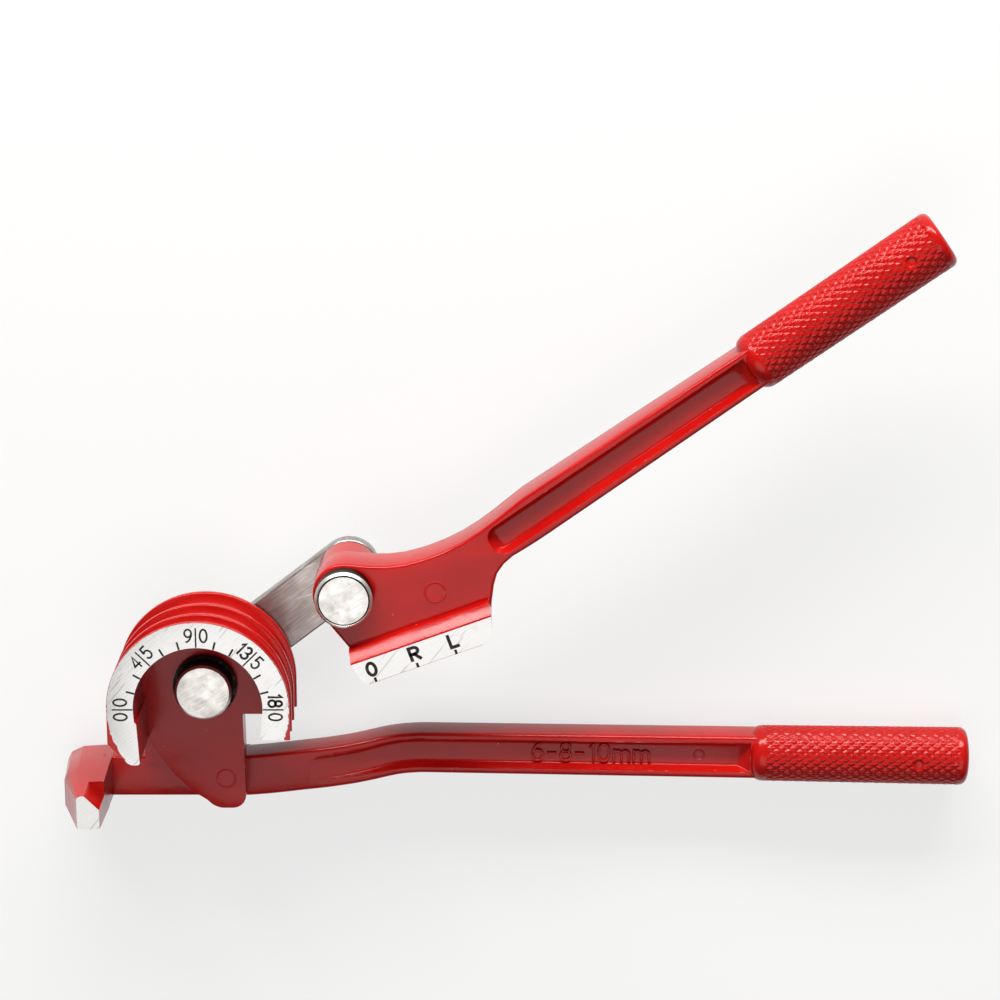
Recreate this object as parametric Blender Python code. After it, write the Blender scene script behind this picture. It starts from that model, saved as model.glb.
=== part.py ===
"""Lever tube bender for 6, 8 and 10 mm tube, lying on its back with both pivots upright.

The forming handle is one casting: a half-round former with three grooves, a hook that holds
the tube's tail, and a handle. A steel link turns on the former's pivot and carries the lever,
a second casting whose grooved shoe wipes the tube round the former.

Origin: the middle of the former rivet's peened back face. +Z points to the dial side, +X runs
along the forming handle towards its grip. Lengths are in metres, angles in degrees.
"""
import math

import bmesh
import bpy
from mathutils import Matrix, Vector

# Tubes, from the dial side to the back, and the grooves cut for them.
TUBE_DIAMETERS = (0.006, 0.008, 0.010)
TUBE_CLEARANCE = 0.00015
FRONT_FLANGE = 0.0015
MIDDLE_FLANGE = 0.0018
BACK_FLANGE = 0.0020
FLANGE_CHAMFER = 0.0003

# Running and seating gaps.
SEAT_GAP = 0.0003
BORE_GAP = 0.0003
SHOE_TO_FORMER_GAP = 0.0014
OVERRUN = 0.002

# Rivets, washers and link.
SHANK_RADIUS = 0.0055
HEAD_RADIUS = 0.0087
HEAD_HEIGHT = 0.0056
HEAD_CHAMFER = 0.0008
TAIL_RADIUS = 0.0075
TAIL_HEIGHT = 0.0016
TAIL_FLAT_RADIUS = 0.0062
THRUST_WASHER_RADIUS = 0.0089
THRUST_WASHER_THICKNESS = 0.0009
HEAD_WASHER_RADIUS = 0.0098
HEAD_WASHER_THICKNESS = 0.0021
LINK_THICKNESS = 0.0050
LINK_HALF_WIDTH = 0.0092
LINK_EDGE_CHAMFER = 0.0004

# Former: a half ring with two straight legs, around a web.
FORMER_RADIUS = 0.0275
RING_WALL = 0.0080
WEB_THICKNESS = 0.0085
WEB_EMBED = 0.0012
TUBE_SIDE_LEG = 0.0178
FREE_SIDE_LEG = 0.0097
LEG_THICKENING = 0.0016
LEG_CUT_HEIGHT = 0.0070
LEG_TIP_WIDTH = 0.0030

# Web below the former, and the foot that joins it to the handle and the hook's arm.
WEB_EDGE = 0.0112
FOOT_DEPTH = 0.0407
FOOT_BULGE = 0.0005
FOOT_ROUNDING = 0.0042
FOOT_FLAT = 0.0035
CAST_STEP = 0.0003
WEB_SLANT_SHARES = ((-0.05, 0.93), (-0.40, 0.87), (-0.92, 0.73), (-1.32, 0.57), (-1.50, 0.49))

# Arm and hook that hold the tube's tail.
ARM_TOP = 0.0268
HOOK_LENGTH = 0.0125
HOOK_SLACK = 0.0011
HOOK_LAND_DEPTH = 0.0009
HOOK_TOP_DRAFT = 0.0008
HOOK_BOTTOM_DRAFT = 0.0021
HOOK_FACET_WIDTH = 0.0068
HOOK_SHOULDER_HEIGHT = 0.0090
HOOK_OUTER_DRAFT = 0.0018
HOOK_CORNER = 0.0026
HOOK_NOTCH = 0.0046
HOOK_NOTCH_DEPTH = 0.0120

# Forming handle: bar with a joggle near the foot, and its grip.
BAR_THICKNESS = 0.0112
BAR_SETBACK = 0.0004
BAR_WIDTH = 0.0134
BAR_GRIP_END_WIDTH = 0.0139
BAR_CORNER = 0.0020
HANDLE_DROP = 0.0277
HANDLE_REACH = 0.1735
HANDLE_TILT = -0.95
JOGGLE_START = 0.0115
JOGGLE_END = 0.0655
JOGGLE_RISE = 0.0086
JOGGLE_SHARES = ((0.0, 1.0), (0.15, 0.90), (0.30, 0.77), (0.45, 0.65), (0.60, 0.49), (0.71, 0.33),
                 (0.81, 0.16), (0.89, 0.06), (1.0, 0.0))

# Grips, alike on both handles.
GRIP_LENGTH = 0.0640
GRIP_START_RADIUS = 0.0088
GRIP_END_RADIUS = 0.0091
GRIP_END_ROUNDING = 0.0022
GRIP_SHOULDER = 0.0062
GRIP_NECK_RADIUS = 0.0052
GRIP_DEPTH_OFFSET = 0.0004

# Recess along the front of each handle bar.
RECESS_RIM = 0.0019
RECESS_DEPTH = 0.0030
RECESS_DRAFT = 0.0011
RECESS_END_RAMP = 0.0036
RECESS_GRIP_MARGIN = 0.0040
FORMING_RECESS_START = 0.0330
FORMING_RECESS_RUN = 0.0270

# Lever: plate with a boss on the pivot, neck, shoe and handle bar.
SHOE_HEIGHT = 0.0270
SHOE_LENGTH = 0.0364
SHOE_LEAD = 0.0018
SHOE_THICKNESS = 0.0314
SHOE_STRIP_WIDTH = 0.0077
SHOE_SLOPE = 0.0033
SHOE_SIDE_SLANT = 0.0034
SHOE_END_SLANT = 0.0040
SHOE_CORNER_CUT = 0.0016
PLATE_FRONT_STEP = 0.0060
PLATE_THICKNESS = 0.0150
BOSS_RADIUS = 0.0096
PLATE_EDGE_CHAMFER = 0.0007
NECK_WAIST_SHARES = ((1.05, 0.60), (1.55, 0.42), (2.10, 0.29), (2.75, 0.235), (3.40, 0.255), (4.0, 0.33),
                     (4.6, 0.465), (5.16, 0.64), (5.7, 0.83), (6.2, 1.005))
NECK_HEEL_SHARES = ((6.2, -0.435), (5.75, -0.54), (5.35, -0.625), (5.0, -0.77), (4.7, -0.99), (4.48, -1.30))
LEVER_BAR_ANGLE = 15.0
LEVER_REACH = 0.1395
LEVER_RISE = 0.0242
LEVER_BAR_START = 0.0565
LEVER_BAR_THICKNESS = 0.0128
LEVER_BAR_WIDTH = 0.0138
LEVER_BAR_GRIP_END_WIDTH = 0.0122
LEVER_RECESS_START = 0.0465
LEVER_RECESS_RUN = 0.0020

# Rest position of the linkage, as the tool is shown.
LINK_ANGLE = 37.7
LEVER_ANGLE = 20.0

# Points closer than this are one point.
MERGE_DISTANCE = 1e-7

# Facet counts.
RING_STEPS = 40
GROOVE_STEPS = 8
CORNER_STEPS = 3
ROUND_STEPS = 40
GRIP_STEPS = 32

# Heights of the stack on the former's pivot, from the back.
LINK_BACK = TAIL_HEIGHT + SEAT_GAP
LINK_FRONT = LINK_BACK + LINK_THICKNESS
THRUST_WASHER_BACK = LINK_FRONT + SEAT_GAP
CASTING_BACK = THRUST_WASHER_BACK + THRUST_WASHER_THICKNESS + SEAT_GAP
FORMER_DEPTH = (FRONT_FLANGE + 2 * MIDDLE_FLANGE + BACK_FLANGE
                + sum(TUBE_DIAMETERS) + 2 * TUBE_CLEARANCE * len(TUBE_DIAMETERS))
DIAL_FACE = CASTING_BACK + FORMER_DEPTH
WEB_FRONT = CASTING_BACK + WEB_THICKNESS
BAR_FRONT = CASTING_BACK - BAR_SETBACK
BAR_BACK = BAR_FRONT - BAR_THICKNESS
SHOE_BACK = DIAL_FACE - SHOE_THICKNESS
PLATE_FRONT = DIAL_FACE - PLATE_FRONT_STEP
PLATE_BACK = PLATE_FRONT - PLATE_THICKNESS
BORE_RADIUS = SHANK_RADIUS + BORE_GAP
CUP_RADIUS = FORMER_RADIUS - RING_WALL
LINK_LENGTH = FORMER_RADIUS + SHOE_HEIGHT + SHOE_TO_FORMER_GAP


def groove_radius(diameter):
    """Radius of the half-round groove for a tube."""
    return diameter / 2 + TUBE_CLEARANCE


def groove_heights():
    """Height of each groove's middle, in the order of TUBE_DIAMETERS."""
    heights = []
    top = DIAL_FACE - FRONT_FLANGE
    for diameter in TUBE_DIAMETERS:
        radius = groove_radius(diameter)
        heights.append(top - radius)
        top -= 2 * radius + MIDDLE_FLANGE
    return heights


def arc(centre, radius, start, end, steps):
    """Points on a circle from one angle to another, both included."""
    points = []
    for step in range(steps + 1):
        angle = math.radians(start + (end - start) * step / steps)
        points.append((centre[0] + radius * math.cos(angle), centre[1] + radius * math.sin(angle)))
    return points


def add_face(bm, points):
    """One flat face through the points."""
    return bm.faces.new([bm.verts.new(point) for point in points])


def prism(outline, low, high):
    """A flat outline raised from one height to another."""
    bm = bmesh.new()
    face = add_face(bm, [(x, y, low) for x, y in outline])
    grown = bmesh.ops.extrude_face_region(bm, geom=[face])["geom"]
    corners = [item for item in grown if isinstance(item, bmesh.types.BMVert)]
    bmesh.ops.translate(bm, verts=corners, vec=(0, 0, high - low))
    bmesh.ops.recalc_face_normals(bm, faces=bm.faces)
    return bm


def chamfer_rims(bm, width):
    """Breaks the edges round the flat faces at both ends of a prism."""
    heights = [vert.co.z for vert in bm.verts]
    low, high = min(heights), max(heights)
    rims = [edge for edge in bm.edges
            if all(vert.co.z == low for vert in edge.verts) or all(vert.co.z == high for vert in edge.verts)]
    bmesh.ops.bevel(bm, geom=rims, offset=width, segments=1, profile=0.5, affect="EDGES", material=-1)
    return bm


def turned(profile, steps=ROUND_STEPS):
    """A solid of revolution about Z; the profile's points are (radius, height)."""
    bm = bmesh.new()
    verts = [bm.verts.new((radius, 0, height)) for radius, height in profile]
    edges = [bm.edges.new(pair) for pair in zip(verts, verts[1:] + verts[:1])]
    if min(radius for radius, height in profile) == 0:
        edges[-1:] = []
        bm.edges.remove(bm.edges.get((verts[-1], verts[0])))
    bmesh.ops.spin(bm, geom=verts + edges, cent=(0, 0, 0), axis=(0, 0, 1), dvec=(0, 0, 0),
                   angle=math.tau, steps=steps, use_merge=True, use_duplicate=False)
    bmesh.ops.remove_doubles(bm, verts=bm.verts, dist=MERGE_DISTANCE)
    bmesh.ops.recalc_face_normals(bm, faces=bm.faces)
    return bm


def loft(rings):
    """A closed solid through rings of points, each ring with as many points as the next."""
    bm = bmesh.new()
    loops = []
    for ring in rings:
        verts = [bm.verts.new(point) for point in ring]
        loops.append([bm.edges.new(pair) for pair in zip(verts, verts[1:] + verts[:1])])
    for low, high in zip(loops, loops[1:]):
        bmesh.ops.bridge_loops(bm, edges=low + high)
    bmesh.ops.edgeloop_fill(bm, edges=loops[0])
    bmesh.ops.edgeloop_fill(bm, edges=loops[-1])
    bmesh.ops.recalc_face_normals(bm, faces=bm.faces)
    return bm


def make_object(name, bm, material=None):
    """Turns a bmesh into an object of the scene."""
    mesh = bpy.data.meshes.new(name)
    bm.to_mesh(mesh)
    bm.free()
    obj = bpy.data.objects.new(name, mesh)
    bpy.context.scene.collection.objects.link(obj)
    if material:
        mesh.materials.append(material)
    return obj


def combine(base, bm, operation):
    """Joins a shape to an object or cuts it out, and leaves one clean mesh."""
    tool = make_object("tool", bm)
    modifier = base.modifiers.new("shape", "BOOLEAN")
    modifier.operation = operation
    modifier.solver = "EXACT"
    modifier.object = tool
    bpy.context.view_layer.update()
    shaped = base.evaluated_get(bpy.context.evaluated_depsgraph_get())
    old = base.data
    base.data = bpy.data.meshes.new_from_object(shaped)
    base.modifiers.clear()
    base.data.name = base.name
    bpy.data.meshes.remove(old)
    tool_mesh = tool.data
    bpy.data.objects.remove(tool)
    bpy.data.meshes.remove(tool_mesh)


def smooth_shade(obj, sharp_angle=30):
    """Smooth shading that keeps the real edges."""
    obj.data.shade_smooth()
    obj.data.set_sharp_from_angle(angle=math.radians(sharp_angle))


def metal(name, colour, roughness, metallic):
    """A plain material for one finish."""
    material = bpy.data.materials.new(name)
    material.use_nodes = True
    shader = material.node_tree.nodes["Principled BSDF"]
    shader.inputs["Base Color"].default_value = (*colour, 1)
    shader.inputs["Roughness"].default_value = roughness
    shader.inputs["Metallic"].default_value = metallic
    return material


def along(angle):
    """Unit vector in the plane at an angle from +X."""
    return Vector((math.cos(math.radians(angle)), math.sin(math.radians(angle)), 0))


def groove_profile(face, back, inner):
    """Outline in radius and height of a grooved rim: grooves are cut inward from the face radius."""
    points = [(inner, DIAL_FACE), (face - FLANGE_CHAMFER, DIAL_FACE), (face, DIAL_FACE - FLANGE_CHAMFER)]
    for diameter, middle in zip(TUBE_DIAMETERS, groove_heights()):
        radius = groove_radius(diameter)
        points += arc((face, middle), radius, 90, 270, GROOVE_STEPS)
    points += [(face, back + FLANGE_CHAMFER), (face - FLANGE_CHAMFER, back), (inner, back)]
    return points


def former_ring():
    """The grooved half ring, its short free leg, and the longer leg beside the tube's tail."""
    bm = bmesh.new()
    profile = groove_profile(FORMER_RADIUS, CASTING_BACK, CUP_RADIUS)
    verts = [bm.verts.new((radius, -FREE_SIDE_LEG, height)) for radius, height in profile]
    free_end = [bm.edges.new(pair) for pair in zip(verts, verts[1:] + verts[:1])]
    grown = bmesh.ops.extrude_edge_only(bm, edges=free_end)["geom"]
    level = [item for item in grown if isinstance(item, bmesh.types.BMVert)]
    bmesh.ops.translate(bm, verts=level, vec=(0, FREE_SIDE_LEG, 0))
    loop = [edge for edge in bm.edges if all(vert in level for vert in edge.verts)]
    swept = bmesh.ops.spin(bm, geom=level + loop, cent=(0, 0, 0), axis=(0, 0, 1), dvec=(0, 0, 0),
                           angle=math.pi, steps=RING_STEPS, use_duplicate=False)["geom_last"]
    loop = [item for item in swept if isinstance(item, bmesh.types.BMEdge)]
    grown = bmesh.ops.extrude_edge_only(bm, edges=loop)["geom"]
    tip = [item for item in grown if isinstance(item, bmesh.types.BMVert)]
    bmesh.ops.translate(bm, verts=tip, vec=(0, -TUBE_SIDE_LEG, 0))
    for vert in tip:
        if vert.co.x > -CUP_RADIUS - OVERRUN / 2:
            vert.co.x += LEG_THICKENING
    tube_end = [edge for edge in bm.edges if all(vert in tip for vert in edge.verts)]
    bmesh.ops.edgeloop_fill(bm, edges=free_end)
    bmesh.ops.edgeloop_fill(bm, edges=tube_end)
    bmesh.ops.recalc_face_normals(bm, faces=bm.faces)
    return bm


def leg_tip_cut():
    """Wedge taken off the outer corner of the longer leg."""
    outer = -FORMER_RADIUS - OVERRUN
    tip = -CUP_RADIUS - LEG_TIP_WIDTH + LEG_THICKENING
    slope = LEG_CUT_HEIGHT / (FORMER_RADIUS + tip)
    outline = [(outer, -TUBE_SIDE_LEG - OVERRUN), (tip + OVERRUN / slope, -TUBE_SIDE_LEG - OVERRUN),
               (outer, -TUBE_SIDE_LEG + LEG_CUT_HEIGHT + OVERRUN * slope)]
    return prism(outline, CASTING_BACK - OVERRUN, DIAL_FACE + OVERRUN)


def foot_outline(inset):
    """Lower rounded end of the web, from its free edge to the slant, clockwise."""
    edge, depth = WEB_EDGE + FOOT_BULGE - inset, FOOT_DEPTH - inset
    right = arc((edge - FOOT_ROUNDING, FOOT_ROUNDING - depth), FOOT_ROUNDING, 0, -90, CORNER_STEPS)
    left_x = edge - FOOT_ROUNDING - FOOT_FLAT
    left = arc((left_x, FOOT_ROUNDING - depth), FOOT_ROUNDING, -90, -125, CORNER_STEPS)
    return right + left


def slant_outline(inset):
    """Slanted edge of the web, from the foot up to the longer leg."""
    return [(WEB_EDGE * across + inset, -FOOT_DEPTH * down + inset) for across, down in WEB_SLANT_SHARES]


def web():
    """Floor of the cup, running down behind the dial to the foot."""
    embed = CUP_RADIUS + WEB_EMBED
    outline = arc((0, 0), embed, 180, 0, RING_STEPS)
    outline += [(embed, -FREE_SIDE_LEG), (WEB_EDGE, -FREE_SIDE_LEG)]
    outline += foot_outline(0) + slant_outline(0)
    outline += [(LEG_THICKENING - CUP_RADIUS - CAST_STEP, -TUBE_SIDE_LEG + CAST_STEP),
                (-embed, -TUBE_SIDE_LEG + LEG_CUT_HEIGHT)]
    return prism(outline, CASTING_BACK + CAST_STEP, WEB_FRONT)


def foot():
    """Block under the web that carries the handle on one side and the arm on the other."""
    slant = [point for point in slant_outline(CAST_STEP) if point[1] < -ARM_TOP]
    outline = foot_outline(CAST_STEP) + slant
    outline += [(slant[-1][0] - WEB_EMBED, -ARM_TOP), (WEB_EDGE - CAST_STEP, -ARM_TOP)]
    return prism(outline, BAR_BACK + CAST_STEP, CASTING_BACK + WEB_EMBED)


def hook_face(height):
    """Distance from the former's axis to the hook's inner face, which follows the tubes' outer sides."""
    heights = groove_heights()
    first, last = groove_radius(TUBE_DIAMETERS[0]), groove_radius(TUBE_DIAMETERS[-1])
    share = (heights[0] - height) / (heights[0] - heights[-1])
    return FORMER_RADIUS + HOOK_SLACK - HOOK_LAND_DEPTH + first + (last - first) * share


def arm():
    """Flat arm from the foot to the hook, behind the tube."""
    root = hook_face(BAR_FRONT) + HOOK_CORNER
    low, high = -FOOT_DEPTH + 2 * CAST_STEP, -ARM_TOP - CAST_STEP
    outline = [(WEB_EDGE / 2, low), (WEB_EDGE / 2, high), (-root, high), (-root, low)]
    return prism(outline, BAR_BACK + 2 * CAST_STEP, BAR_FRONT)


def hook_ring(height, inner, outer, top, bottom, corner):
    """One outline of the hook, with its outer upper corner cut off."""
    points = [(-inner, -bottom), (-inner, -top), (-outer + 2 * corner, -top - corner / 4),
              (-outer + corner / 2, -top - corner), (-outer, -top - 2 * corner), (-outer, -bottom)]
    return [(x, y, height) for x, y in points]


def hook():
    """Wall that holds the tube's tail against the former; it leans in and narrows to its ground facet."""
    shoulder = CASTING_BACK + HOOK_SHOULDER_HEIGHT
    facet_inner = hook_face(DIAL_FACE)
    root_outer = hook_face(BAR_BACK) + HOOK_LENGTH
    shoulder_bottom = FOOT_DEPTH - HOOK_BOTTOM_DRAFT / 3
    return loft([
        hook_ring(BAR_BACK, hook_face(BAR_BACK), root_outer, ARM_TOP, FOOT_DEPTH, HOOK_CORNER),
        hook_ring(shoulder, hook_face(shoulder), root_outer - HOOK_OUTER_DRAFT,
                  ARM_TOP - HOOK_TOP_DRAFT / 2, shoulder_bottom, HOOK_CORNER * 0.75),
        hook_ring(DIAL_FACE, facet_inner, facet_inner + HOOK_FACET_WIDTH,
                  ARM_TOP - HOOK_TOP_DRAFT, FOOT_DEPTH - HOOK_BOTTOM_DRAFT, HOOK_CORNER * 0.25),
    ])


def hook_notch():
    """Wedge off the hook's upper inner corner, so that a thin tube slips in."""
    inner = -hook_face(DIAL_FACE)
    top = -ARM_TOP + HOOK_TOP_DRAFT
    outline = [(inner - HOOK_NOTCH - OVERRUN, top + OVERRUN), (inner + OVERRUN, top + OVERRUN),
               (inner + OVERRUN, top - HOOK_NOTCH - OVERRUN)]
    return prism(outline, DIAL_FACE - HOOK_NOTCH_DEPTH, DIAL_FACE + OVERRUN)


def carved(name, solid, cutters):
    """A shape with the cutters taken out of it, as a bmesh."""
    obj = make_object(name, solid)
    for cutter in cutters:
        combine(obj, cutter, "DIFFERENCE")
    bm = bmesh.new()
    bm.from_mesh(obj.data)
    mesh = obj.data
    bpy.data.objects.remove(obj)
    bpy.data.meshes.remove(mesh)
    return bm


def rod(radius, length, steps=ROUND_STEPS):
    """A plain cylinder from the origin along +Z."""
    return turned([(0, 0), (radius, 0), (radius, length), (0, length)], steps)


def tube_channel(diameter, height):
    """Rod that cuts a tube's channel into the hook's inner face."""
    bm = rod(groove_radius(diameter), FOOT_DEPTH)
    place = Matrix.Translation((-FORMER_RADIUS - HOOK_SLACK, -ARM_TOP + HOOK_TOP_DRAFT + OVERRUN, height))
    bmesh.ops.transform(bm, verts=bm.verts, matrix=place @ Matrix.Rotation(math.radians(90), 4, "X"))
    return bm


def bore():
    """Cutter for a pivot's bore."""
    bm = rod(BORE_RADIUS, DIAL_FACE + 2 * OVERRUN)
    bmesh.ops.translate(bm, verts=bm.verts, vec=(0, 0, -OVERRUN))
    return bm


def bar_ring(middle, direction, width, back, front):
    """Rounded rectangle across a handle bar."""
    side = Vector((-direction.y, direction.x, 0))
    half, tall = width / 2 - BAR_CORNER, (front - back) / 2 - BAR_CORNER
    points = []
    for across, up, start in ((half, tall, 0), (-half, tall, 90), (-half, -tall, 180), (half, -tall, 270)):
        points += arc((across, up), BAR_CORNER, start, start + 90, CORNER_STEPS)
    centre = Vector((middle[0], middle[1], (front + back) / 2))
    return [centre + side * across + Vector((0, 0, up)) for across, up in points]


def recess_ring(middle, direction, half_width, depth, front):
    """Four-sided section of a recess cutter, narrower at the floor than at the front."""
    side = Vector((-direction.y, direction.x, 0))
    centre = Vector((middle[0], middle[1], front))
    top = half_width + RECESS_DRAFT * OVERRUN / RECESS_DEPTH
    floor = half_width - RECESS_DRAFT * depth / RECESS_DEPTH
    raised, sunk = Vector((0, 0, OVERRUN)), Vector((0, 0, -depth))
    return [centre + side * top + raised, centre - side * top + raised,
            centre - side * floor + sunk, centre + side * floor + sunk]


def grip(origin, angle, height):
    """Turned grip along a handle's line, starting in a rounded shoulder."""
    profile = [(0, -GRIP_SHOULDER)]
    reach = GRIP_START_RADIUS - GRIP_NECK_RADIUS
    for step in range(CORNER_STEPS + 2):
        turn = math.radians(90 * step / (CORNER_STEPS + 1))
        profile.append((GRIP_NECK_RADIUS + reach * math.sin(turn), -GRIP_SHOULDER * math.cos(turn)))
    end = GRIP_LENGTH - GRIP_END_ROUNDING
    for radius, distance in arc((GRIP_END_RADIUS - GRIP_END_ROUNDING, end), GRIP_END_ROUNDING, 0, 90,
                                CORNER_STEPS):
        profile.append((radius, distance))
    profile.append((0, GRIP_LENGTH))
    bm = turned(profile, GRIP_STEPS)
    lie = Matrix.Rotation(math.radians(angle), 4, "Z") @ Matrix.Rotation(math.radians(90), 4, "Y")
    place = Matrix.Translation((origin[0], origin[1], height))
    bmesh.ops.transform(bm, verts=bm.verts, matrix=place @ lie)
    return bm


def share_at(table, position):
    """Reads a table of shares between its rows."""
    for (low, first), (high, second) in zip(table, table[1:]):
        if position <= high:
            return first + (second - first) * (position - low) / (high - low)
    return table[-1][1]


def forming_line(x):
    """Middle of the forming handle's bar at a distance along +X."""
    straight = -HANDLE_DROP - (HANDLE_REACH - x) * math.tan(math.radians(HANDLE_TILT))
    place = min(max((x - JOGGLE_START) / (JOGGLE_END - JOGGLE_START), 0), 1)
    return Vector((x, straight - JOGGLE_RISE * share_at(JOGGLE_SHARES, place), 0))


def forming_stations():
    """Distances along +X where the forming bar's sections lie."""
    reach = JOGGLE_END - JOGGLE_START
    stations = [JOGGLE_START - FOOT_ROUNDING]
    stations += [JOGGLE_START + reach * share for share, rise in JOGGLE_SHARES]
    return stations + [(JOGGLE_END + HANDLE_REACH) / 2, HANDLE_REACH]


def direction_at(line, x):
    """Direction of a bar's middle line."""
    return (line(x + OVERRUN) - line(x - OVERRUN)).normalized()


def forming_bar():
    """Bar of the forming handle, from inside the foot to inside the grip."""
    rings = []
    for x in forming_stations():
        share = max(x - JOGGLE_END, 0) / (HANDLE_REACH - JOGGLE_END)
        width = BAR_WIDTH + (BAR_GRIP_END_WIDTH - BAR_WIDTH) * share
        rings.append(bar_ring(forming_line(x), direction_at(forming_line, x), width, BAR_BACK, BAR_FRONT))
    return loft(rings)


def forming_recess():
    """Long recess in the forming bar: it deepens through the joggle and ends in a ramp at the grip."""
    end = HANDLE_REACH - RECESS_GRIP_MARGIN
    full = FORMING_RECESS_START + FORMING_RECESS_RUN
    half_width = BAR_WIDTH / 2 - RECESS_RIM
    steps = 2 * CORNER_STEPS
    rings = []
    for step in range(steps + 1):
        share = step / steps
        x = FORMING_RECESS_START + FORMING_RECESS_RUN * share
        width = half_width * (2 + share) / 3
        rings.append(recess_ring(forming_line(x), direction_at(forming_line, x), width,
                                 RECESS_DEPTH * share, BAR_FRONT))
    for x, depth in (((full + end) / 2, RECESS_DEPTH), (end - RECESS_END_RAMP, RECESS_DEPTH), (end, 0)):
        rings.append(recess_ring(forming_line(x), direction_at(forming_line, x), half_width, depth, BAR_FRONT))
    return loft(rings)


def forming_handle(material):
    """The casting that holds the tube: former, foot, arm, hook, bar and grip."""
    obj = make_object("forming_handle", former_ring(), material)
    combine(obj, leg_tip_cut(), "DIFFERENCE")
    combine(obj, web(), "UNION")
    combine(obj, foot(), "UNION")
    combine(obj, arm(), "UNION")
    channels = [tube_channel(diameter, height) for diameter, height in zip(TUBE_DIAMETERS, groove_heights())]
    combine(obj, carved("hook", hook(), channels + [hook_notch()]), "UNION")
    combine(obj, forming_bar(), "UNION")
    grip_height = (BAR_FRONT + BAR_BACK) / 2 + GRIP_DEPTH_OFFSET
    combine(obj, grip(forming_line(HANDLE_REACH), HANDLE_TILT, grip_height), "UNION")
    combine(obj, forming_recess(), "DIFFERENCE")
    combine(obj, bore(), "DIFFERENCE")
    smooth_shade(obj)
    return obj


def shoe_outline():
    """Plan of the shoe: its face looks along -Y, its lead end is beside the zero mark."""
    face = -SHOE_HEIGHT
    back = face + SHOE_STRIP_WIDTH + SHOE_SLOPE
    tail = SHOE_LENGTH - SHOE_LEAD
    return [(-SHOE_LEAD, face), (tail, face), (tail + SHOE_CORNER_CUT, face + SHOE_CORNER_CUT / 2),
            (tail + 2 * SHOE_CORNER_CUT, face + 2 * SHOE_CORNER_CUT),
            (tail + SHOE_CORNER_CUT + SHOE_END_SLANT, back),
            (-SHOE_LEAD - SHOE_SIDE_SLANT + SHOE_CORNER_CUT / 2, back),
            (-SHOE_LEAD - SHOE_SIDE_SLANT, face + SHOE_STRIP_WIDTH - SHOE_CORNER_CUT / 4),
            (-SHOE_LEAD - SHOE_CORNER_CUT, face + SHOE_CORNER_CUT / 2)]


def shoe_cut(points):
    """Prism along the whole shoe with a section given in (y, z)."""
    low, high = -SHOE_LENGTH, 2 * SHOE_LENGTH
    bm = bmesh.new()
    face = add_face(bm, [(low, y, z) for y, z in points])
    grown = bmesh.ops.extrude_face_region(bm, geom=[face])["geom"]
    bmesh.ops.translate(bm, verts=[item for item in grown if isinstance(item, bmesh.types.BMVert)],
                        vec=(high - low, 0, 0))
    bmesh.ops.recalc_face_normals(bm, faces=bm.faces)
    return bm


def shoe_slopes():
    """Wedges that turn the shoe's upper edges into slopes, at the dial side and the back."""
    strip = -SHOE_HEIGHT + SHOE_STRIP_WIDTH
    wedges = []
    for face, inward in ((DIAL_FACE, -1), (SHOE_BACK, 1)):
        wedges.append(shoe_cut([
            (strip - OVERRUN, face - inward * OVERRUN),
            (strip + SHOE_SLOPE + OVERRUN, face - inward * OVERRUN),
            (strip + SHOE_SLOPE + OVERRUN, face + inward * (SHOE_SLOPE + OVERRUN))]))
    return wedges


def shoe_groove(diameter, height):
    """Rod that cuts a tube's groove into the shoe's face."""
    bm = rod(groove_radius(diameter), 3 * SHOE_LENGTH)
    place = Matrix.Translation((-SHOE_LENGTH, -SHOE_HEIGHT, height))
    bmesh.ops.transform(bm, verts=bm.verts, matrix=place @ Matrix.Rotation(math.radians(90), 4, "Y"))
    return bm


def lever_line(x):
    """Middle of the lever's bar in the lever's own frame."""
    return Vector((x, LEVER_RISE - (LEVER_REACH - x) * math.tan(math.radians(LEVER_BAR_ANGLE)), 0))


def plate_outline():
    """Plan of the lever's plate: boss on the pivot, waisted neck, heel and the side beside the shoe."""
    back = -SHOE_HEIGHT + SHOE_STRIP_WIDTH
    tail = SHOE_LENGTH - SHOE_LEAD + SHOE_CORNER_CUT + SHOE_END_SLANT
    outline = [(BOSS_RADIUS * across, BOSS_RADIUS * up) for across, up in NECK_HEEL_SHARES]
    outline += [(tail - WEB_EMBED, back), (-SHOE_LEAD - SHOE_SIDE_SLANT + SHOE_CORNER_CUT, back)]
    outline += arc((0, 0), BOSS_RADIUS, 200, 60, CORNER_STEPS * 4)
    outline += [(BOSS_RADIUS * across, BOSS_RADIUS * up) for across, up in NECK_WAIST_SHARES]
    return outline


def lever_stations():
    """Distances along the lever where its bar's sections lie."""
    return [LEVER_BAR_START, LEVER_BAR_START + (LEVER_REACH - LEVER_BAR_START) / 2, LEVER_REACH]


def lever_bar():
    """Straight bar of the lever, a little thinner and narrower towards the grip."""
    rings = []
    for x in lever_stations():
        share = (x - LEVER_BAR_START) / (LEVER_REACH - LEVER_BAR_START)
        width = LEVER_BAR_WIDTH + (LEVER_BAR_GRIP_END_WIDTH - LEVER_BAR_WIDTH) * share
        thickness = PLATE_THICKNESS + (LEVER_BAR_THICKNESS - PLATE_THICKNESS) * share
        rings.append(bar_ring(lever_line(x), along(LEVER_BAR_ANGLE), width, PLATE_FRONT - thickness,
                              PLATE_FRONT))
    return loft(rings)


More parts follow.
